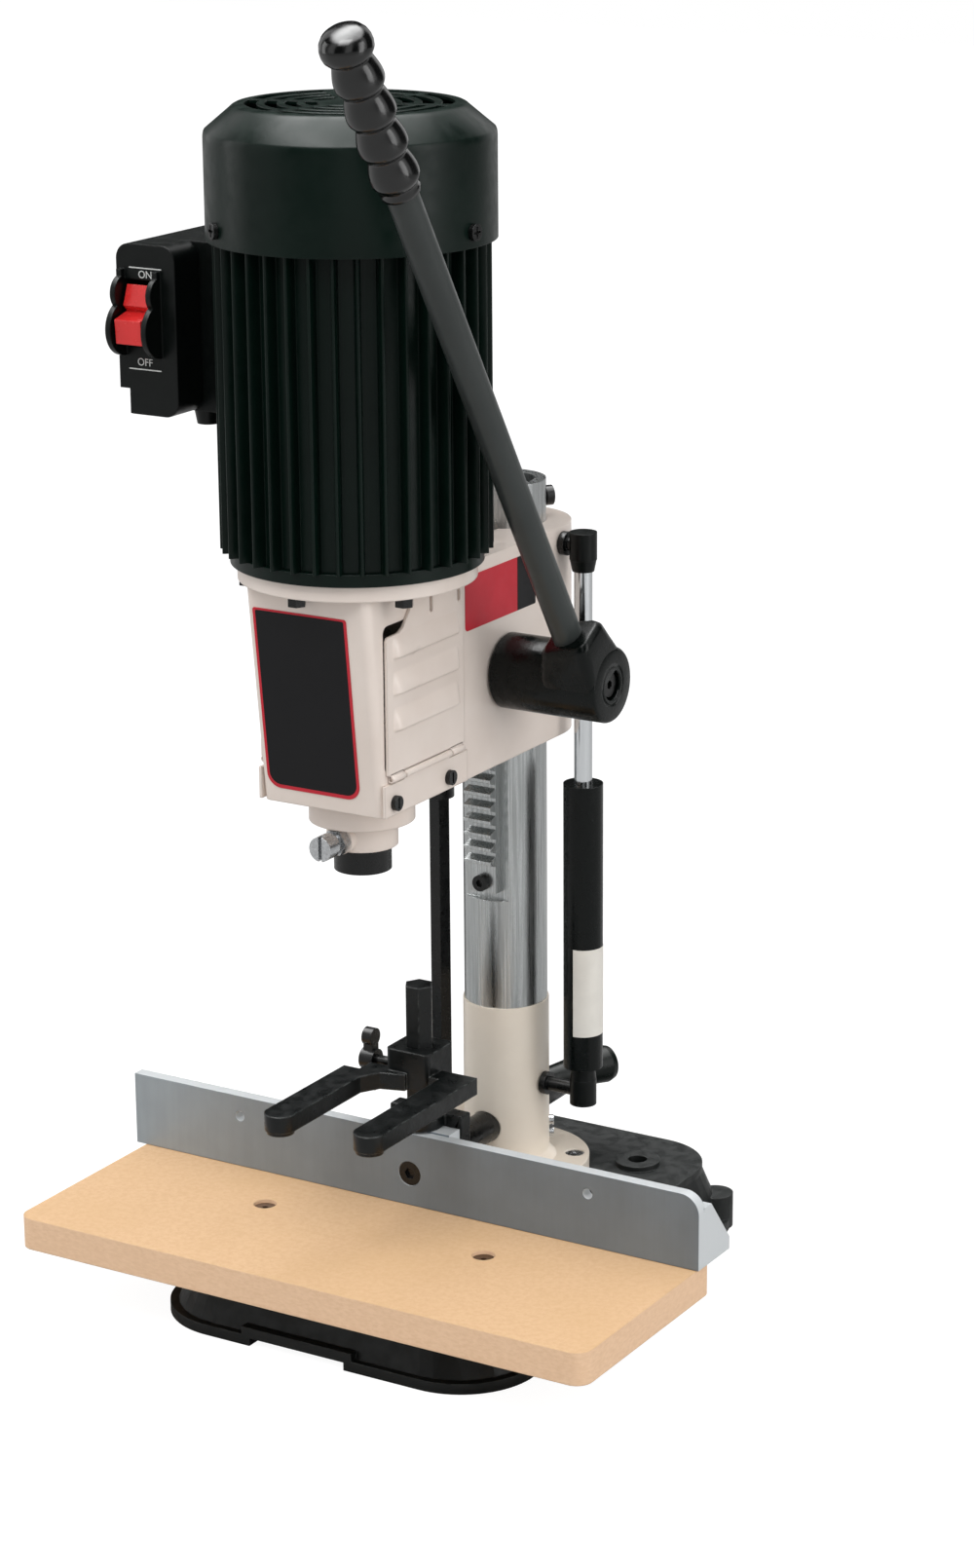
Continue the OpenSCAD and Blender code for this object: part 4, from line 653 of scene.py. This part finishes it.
def build_hub():
    """Cast hub: a barrel with a stepped end face, and a faceted boss that takes the lever."""
    place = lever_frame()[0]
    axis = joint_place("lever_turn")
    low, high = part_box("lever_hub")
    radius = 20.3 * MM
    length = high.x - low.x
    barrel = lathe([(radius - 1.5 * MM, 0.0), (radius, 1.5 * MM), (radius, length - 2.2 * MM),
                    (radius - 0.3 * MM, length - 1.2 * MM), (radius - 0.9 * MM, length - 0.4 * MM),
                    (radius - 1.8 * MM, length), (11.5 * MM, length), (11.2 * MM, length - 0.8 * MM),
                    (10.2 * MM, length - 0.8 * MM), (9.9 * MM, length), (8.6 * MM, length),
                    (8.1 * MM, length - 0.6 * MM), (8.1 * MM, length - 8 * MM), (10.2 * MM, length - 8 * MM),
                    (10.2 * MM, 0.0), (radius - 1.5 * MM, 0.0)], 72)
    moved(barrel, Matrix.Translation((low.x, axis.y, axis.z)) @ Matrix.Rotation(math.pi / 2, 4, "Y"))
    boss = stacked([(4, 0, -16.6, 16.6, 17.5, 6), (15, 0, -16.4, 16.4, 16.4, 7),
                    (22.5, 0, -13.6, 13.6, 13.4, 7), (27.6, 0, -11.2, 11.2, 11.0, 8)], 6)
    soften(boss, 1.4 * MM, 3, 14)
    piece("cast_hub", joined([barrel, moved(boss, place)]), "lever", "black_casting", "lever_hub", sharp=38,
          material=HUB_BLACK)
    piece("hub_boss", moved(lever_boss(), place), "lever", "black_casting", sharp=24, material=HUB_BLACK)


def lever_boss():
    """Faceted cast boss round the lever's foot, level with the hub's end face, its top cut on a slant."""
    boss = stacked([(5, 0, -15.5, 16.9, 18.6, 3.5), (15, 0, -15.5, 16.9, 16.4, 4),
                    (23, 0.08, -14.6, 16.9, 14.4, 4.5), (31, 0.22, -13, 16.5, 12.8, 5),
                    (33.4, 0.28, -11, 14.6, 10.8, 5)], 2)
    return soften(boss, 0.9 * MM, 2, 22)


# ---- Doors ----

def sideways(x=0.0):
    """Turns a shape drawn in local x and y to lie in world y and z, facing +X at a given x."""
    return Matrix(((0, 0, 1, x), (1, 0, 0, 0), (0, 1, 0, 0), (0, 0, 0, 1)))


def door_sheet(side):
    """Pressed sheet door: three louvres, a slanted front corner and two slots near the top."""
    low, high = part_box("right_door")
    hinge = joint_place("right_door_hinge")
    sheet = 1.6 * MM
    inner = hinge.x - sheet
    front, rear, bottom, top = low.y, high.y, hinge.z + 2.4 * MM, high.z
    columns, rows = 84, 150
    lips = [top - (67 - 19 * k) * MM for k in range(3)]
    middle, half = (front + rear) / 2, 31 * MM
    corner = [(front, top - 19.5 * MM), (front + 1.5 * MM, top - 18 * MM), (front + 12 * MM, top - 17.5 * MM),
              (front + 16 * MM, top - 15.5 * MM), (front + 22.5 * MM, top - 8 * MM),
              (front + 25 * MM, top - 4 * MM), (front + 26 * MM, top), (rear, top)]

    def top_at(y):
        for (y0, z0), (y1, z1) in zip(corner, corner[1:]):
            if y <= y1 + 1e-9:
                return z0 + (z1 - z0) * (y - y0) / (y1 - y0)
        return top

    louvre_depth, louvre_rise, louvre_drop, louvre_end = 2.9 * MM, 11 * MM, 1.8 * MM, 4.5 * MM

    def lift(y, z):
        end = min(1.0, max(0.0, (half - abs(y - middle)) / louvre_end))
        share = math.sqrt(1 - (1 - end) ** 2)
        for lip in lips:
            rise = (z - lip) / louvre_rise
            if 0 <= rise <= 1:
                return louvre_depth * share * math.cos(math.pi / 2 * rise)
            drop = (lip - z) / louvre_drop
            if 0 < drop < 1:
                return louvre_depth * share * (1 - drop * drop * (3 - 2 * drop))
        return 0.0

    shape = bmesh.new()
    grid = []
    for column in range(columns + 1):
        y = front + (rear - front) * column / columns
        line = []
        for row in range(rows + 1):
            z = bottom + (top_at(y) - bottom) * row / rows
            line.append(shape.verts.new((inner + sheet + lift(y, z), y, z)))
        grid.append(line)
    for a, b in zip(grid, grid[1:]):
        for row in range(rows):
            shape.faces.new((a[row], b[row], b[row + 1], a[row + 1]))
    bmesh.ops.recalc_face_normals(shape, faces=shape.faces)
    outside = shape.faces[:]
    if sum(f.normal.x for f in outside) < 0:
        bmesh.ops.reverse_faces(shape, faces=outside)
    shell = bmesh.ops.extrude_face_region(shape, geom=shape.faces[:])
    back = [v for v in shell["geom"] if isinstance(v, bmesh.types.BMVert)]
    bmesh.ops.translate(shape, verts=back, vec=(-sheet, 0, 0))
    bmesh.ops.recalc_face_normals(shape, faces=shape.faces)
    slots = []
    for y in (front + 42.7 * MM, front + 69.5 * MM):
        outline = rounded_outline(y - 1.4 * MM, top - 13.5 * MM, y + 1.4 * MM, top - 4.5 * MM,
                                  [1.3 * MM] * 4, 5)
        slots.append(moved(prism(outline, inner - 2 * MM, inner + sheet + 2 * MM), sideways()))
    shape = cut_by(shape, *slots)
    knuckles = []
    for y0, y1 in ((front + 2 * MM, front + 14 * MM), (rear - 14 * MM, rear - 2 * MM)):
        barrel = lathe([(1.0 * MM, 0), (1.7 * MM, 0), (1.9 * MM, 0.3 * MM), (1.9 * MM, y1 - y0 - 0.3 * MM),
                        (1.7 * MM, y1 - y0), (1.0 * MM, y1 - y0), (1.0 * MM, 0)], 24)
        along = Matrix.Translation((hinge.x, y0, hinge.z)) @ Matrix.Rotation(-math.pi / 2, 4, "X")
        knuckles.append(moved(barrel, along))
        leaf = prism([(inner, y0), (hinge.x, y0), (hinge.x, y1), (inner, y1)],
                     hinge.z + 1.2 * MM, bottom + 0.4 * MM)
        knuckles.append(leaf)
    whole = joined([shape, *knuckles])
    if side < 0:
        moved(whole, Matrix.Scale(-1, 4, (1, 0, 0)))
    return whole


def build_doors():
    piece("pressed_right_door", door_sheet(1), "right_door", "cream_paint", "right_door", sharp=40)
    piece("pressed_left_door", door_sheet(-1), "left_door", "cream_paint", "left_door", sharp=40)


# ---- Panels and letters ----

def plate(outline, thickness, place):
    """A thin plate from an outline, lifted off its local XY plane."""
    return moved(soften(prism(outline, 0.0, thickness), thickness * 0.3, 1, 60), place)


def build_front_panel():
    """Black panel with a red border on the head's leaning front face."""
    chisel = joint_place("spindle_spin")
    lean, foot, face = math.radians(6.2), 301 * MM, -182 * MM
    rise = Matrix.Rotation(math.pi / 2 + lean, 4, "X")
    place = Matrix.Translation((chisel.x, face, foot)) @ rise
    x0, x1, y0, y1 = -32.5 * MM, 24 * MM, 8 * MM, 106 * MM
    border = rounded_outline(x0, y0, x1, y1, (8 * MM, 8 * MM, 1.5 * MM, 1.5 * MM))
    rim = 1.6 * MM
    field = rounded_outline(x0 + rim, y0 + rim * 1.3, x1 - rim, y1 - rim * 0.7,
                            (6.5 * MM, 6.5 * MM, 1 * MM, 1 * MM))
    lifted = place @ Matrix.Translation((0, 0, 0.05 * MM))
    piece("front_panel_border", plate(border, 0.30 * MM, lifted), "head", "cream_paint", material=PANEL_RED)
    piece("front_panel_field", plate(field, 0.42 * MM, lifted), "head", "cream_paint", material=PANEL_BLACK)


def build_side_band():
    """Red band with a black rear end on the head's right side."""
    hinge = joint_place("right_door_hinge")
    side = hinge.x - 1.9 * MM
    place = sideways(side + 0.03 * MM)
    y0, y1, y2, z0, z1 = -101 * MM, -48 * MM, -29 * MM, 381 * MM, 410 * MM
    red = rounded_outline(y0, z0, y1, z1, (2.5 * MM, 0.1 * MM, 0.1 * MM, 1 * MM), 6)
    black = rounded_outline(y1 + 0.2 * MM, z0, y2, z1, (0.1 * MM, 1 * MM, 1 * MM, 0.1 * MM), 6)
    piece("side_band", plate(red, 0.25 * MM, place), "head", "cream_paint", material=PANEL_RED)
    piece("side_band_end", plate(black, 0.25 * MM, place), "head", "cream_paint", material=PANEL_BLACK)


def build_gas_label():
    """Bare off-white label round the front right of the gas spring's tube."""
    middle = centre_of("gas_tube")
    low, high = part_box("gas_tube")
    inner, outer = (high.x - low.x) / 2 + 0.03 * MM, (high.x - low.x) / 2 + 0.15 * MM
    outline = arc((0, 0), outer, -91, 110, 60) + arc((0, 0), inner, 110, -91, 60)
    band = moved(prism(outline, low.z + 20.5 * MM, low.z + 71.5 * MM),
                 Matrix.Translation((middle.x, middle.y, 0)))
    piece("gas_tube_label", band, "stand", "black_oxide", material=PANEL_WHITE)


def letters(name, word, size, place):
    """A word as a thin mesh, centred on its place in local XY."""
    curve = bpy.data.curves.new(name, "FONT")
    curve.body, curve.size, curve.extrude = word, size, 0.08 * MM
    curve.align_x, curve.align_y = "CENTER", "CENTER"
    holder = bpy.data.objects.new(name + "_curve", curve)
    bpy.context.scene.collection.objects.link(holder)
    mesh = bpy.data.meshes.new_from_object(holder.evaluated_get(bpy.context.evaluated_depsgraph_get()))
    bpy.data.objects.remove(holder)
    shape = bmesh.new()
    shape.from_mesh(mesh)
    bpy.data.meshes.remove(mesh)
    return moved(shape, place)


def build_switch_letters():
    """ON above and OFF below the rocker, each with a thin line."""
    rocker = joint_place("rocker_press")
    face = rocker.y - 5 * MM
    upright = Matrix.Rotation(math.pi / 2, 4, "X")
    shapes = []
    text_size, half_line, half_stroke, raised = 5.4 * MM, 10 * MM, 0.3 * MM, 0.1 * MM
    stroke = rounded_outline(-half_line, -half_stroke, half_line, half_stroke, [0.2 * MM] * 4, 2)
    for word, x, z, line in (("ON", 3.4, 19.6, 23.0), ("OFF", 1.6, -25.0, -28.6)):
        place = Matrix.Translation((rocker.x + x * MM, face - 0.05 * MM, rocker.z + z * MM)) @ upright
        shapes.append(letters("switch_" + word.lower(), word, text_size, place))
        under = Matrix.Translation((rocker.x + x * MM, face, rocker.z + line * MM)) @ upright
        shapes.append(moved(prism(stroke, 0.0, raised), under))
    piece("switch_letters", joined(shapes), "head", "grey_plastic", material=LETTER_WHITE)


def round_edges(name, width, angle=40):
    """Rounds a casting's sharp edges."""
    shown = frame["nodes"][name]
    weld = shown.modifiers.new("weld", "WELD")
    weld.merge_threshold = 1e-6
    edge = shown.modifiers.new("round", "BEVEL")
    edge.width, edge.segments, edge.use_clamp_overlap = width, 3, True
    edge.limit_method, edge.angle_limit = "ANGLE", math.radians(angle)


round_edges("holddown_fork", 2.2 * MM)
round_edges("holddown_bracket", 1.0 * MM)
round_edges("base_casting", 1.5 * MM)
build_motor_housing()
build_fan_cover()
build_grip()
build_hub()
build_doors()
build_front_panel()
build_side_band()
build_gas_label()
build_switch_letters()


# ---- Stage, light and camera ----

def grey(value):
    return (value, value, value, 1)


def by_ray(tree, ray, other, shown):
    """One shader for a kind of ray and another for the rest."""
    return node(tree, "ShaderNodeMixShader", {0: ray, 1: other.outputs[0], 2: shown.outputs[0]})


def softbox(name, place, aim, width, height, power):
    """An area lamp that faces a point."""
    lamp = bpy.data.lights.new(name, "AREA")
    lamp.shape = "RECTANGLE"
    lamp.size, lamp.size_y, lamp.energy = width, height, power
    made = bpy.data.objects.new(name, lamp)
    made.location = place
    made.rotation_euler = (Vector(aim) - Vector(place)).to_track_quat("-Z", "Y").to_euler()
    bpy.context.scene.collection.objects.link(made)


BACKDROP, FILL = 1.0, 0.72
GLOSS_PANELS, GLOSS_DARK, GLOSS_BRIGHT = 5.0, 0.05, 0.95
OVERHEAD_RIGHT, OVERHEAD_LEFT = 5.0, 11.0


def build_world():
    """White to the eye, a softer fill on surfaces, and in gloss upright panels with a glow overhead."""
    world = bpy.data.worlds.new("studio")
    bpy.context.scene.world = world
    world.use_nodes = True
    tree = world.node_tree
    tree.nodes.clear()
    path = node(tree, "ShaderNodeLightPath").outputs
    straight = math_node(tree, "MAXIMUM", path["Is Camera Ray"], path["Is Transmission Ray"])
    seen = node(tree, "ShaderNodeBackground", {"Color": grey(1), "Strength": BACKDROP})
    outward = node(tree, "ShaderNodeTexCoord").outputs["Generated"]
    direction = node(tree, "ShaderNodeSeparateXYZ", {0: outward})
    turn = math_node(tree, "ARCTAN2", direction.outputs["Y"], direction.outputs["X"])
    wave = math_node(tree, "SINE", math_node(tree, "MULTIPLY", turn, GLOSS_PANELS))
    panels = ramp(tree, wave, 0.0, 0.7, GLOSS_DARK, GLOSS_BRIGHT)
    from_left = ramp(tree, direction.outputs["X"], 0.5, -0.4, OVERHEAD_RIGHT, OVERHEAD_LEFT)
    overhead = math_node(tree, "MULTIPLY", ramp(tree, direction.outputs["Z"], 0.70, 0.88), from_left)
    panels = math_node(tree, "ADD", panels, overhead)
    gloss = node(tree, "ShaderNodeBackground", {"Color": grey(1), "Strength": panels})
    fill = node(tree, "ShaderNodeBackground", {"Color": grey(1), "Strength": FILL})
    lit = by_ray(tree, path["Is Glossy Ray"], fill, gloss)
    both = by_ray(tree, straight, lit, seen)
    tree.links.new(both.outputs[0], node(tree, "ShaderNodeOutputWorld").inputs["Surface"])


FLOOR_GLOW, FLOOR_SHADE, FLOOR_BOUNCE, FLOOR_IN_GLOSS = 0.93, 0.22, 0.45, 0.60


def build_floor():
    """A floor that stays white to the eye with a soft shadow, and is greyer in its bounce and in gloss."""
    half = 6.0
    mesh = bpy.data.meshes.new("floor")
    corners = [(-half, -half, 0), (half, -half, 0), (half, half, 0), (-half, half, 0)]
    mesh.from_pydata(corners, [], [(0, 1, 2, 3)])
    floor = bpy.data.objects.new("floor", mesh)
    bpy.context.scene.collection.objects.link(floor)
    material = bpy.data.materials.new("pale_floor")
    material.use_nodes = True
    tree = material.node_tree
    tree.nodes.clear()
    matte = node(tree, "ShaderNodeBsdfDiffuse", {"Color": grey(FLOOR_SHADE)})
    glow = node(tree, "ShaderNodeEmission", {"Color": grey(1), "Strength": FLOOR_GLOW})
    both = node(tree, "ShaderNodeAddShader", {0: matte.outputs[0], 1: glow.outputs[0]})
    path = node(tree, "ShaderNodeLightPath").outputs
    bounce = node(tree, "ShaderNodeBsdfDiffuse", {"Color": grey(FLOOR_BOUNCE)})
    in_gloss = node(tree, "ShaderNodeBsdfDiffuse", {"Color": grey(FLOOR_IN_GLOSS)})
    unseen = by_ray(tree, path["Is Glossy Ray"], bounce, in_gloss)
    mix = by_ray(tree, path["Is Camera Ray"], unseen, both)
    tree.links.new(mix.outputs[0], node(tree, "ShaderNodeOutputMaterial").inputs["Surface"])
    mesh.materials.append(material)


def build_camera():
    """The photograph's view: from the front right, a little above."""
    camera = bpy.data.cameras.new("camera")
    camera.sensor_width, camera.lens = 36.0, 88.59
    camera.shift_x, camera.shift_y = -0.0115, 0.0292
    camera.clip_start, camera.clip_end = 0.05, 50.0
    made = bpy.data.objects.new("camera", camera)
    place, aim = Vector((1.0508, -1.7565, 0.8826)), Vector((0.0, 0.0, 0.2403))
    look = (aim - place).to_track_quat("-Z", "Y").to_matrix().to_4x4()
    made.matrix_world = Matrix.Translation(place) @ look @ Matrix.Rotation(math.radians(-0.35), 4, "Z")
    bpy.context.scene.collection.objects.link(made)
    bpy.context.scene.camera = made


build_world()
build_floor()
build_camera()
MIDDLE = (0.0, -0.08, 0.34)
softbox("key_light", (0.2, -1.6, 2.6), MIDDLE, 1.6, 1.2, 31)
softbox("left_light", (-2.2, -0.9, 1.1), MIDDLE, 0.9, 1.8, 11)
softbox("right_light", (2.2, -0.1, 1.0), MIDDLE, 0.9, 1.8, 17)
bpy.context.scene.view_settings.view_transform = "Standard"
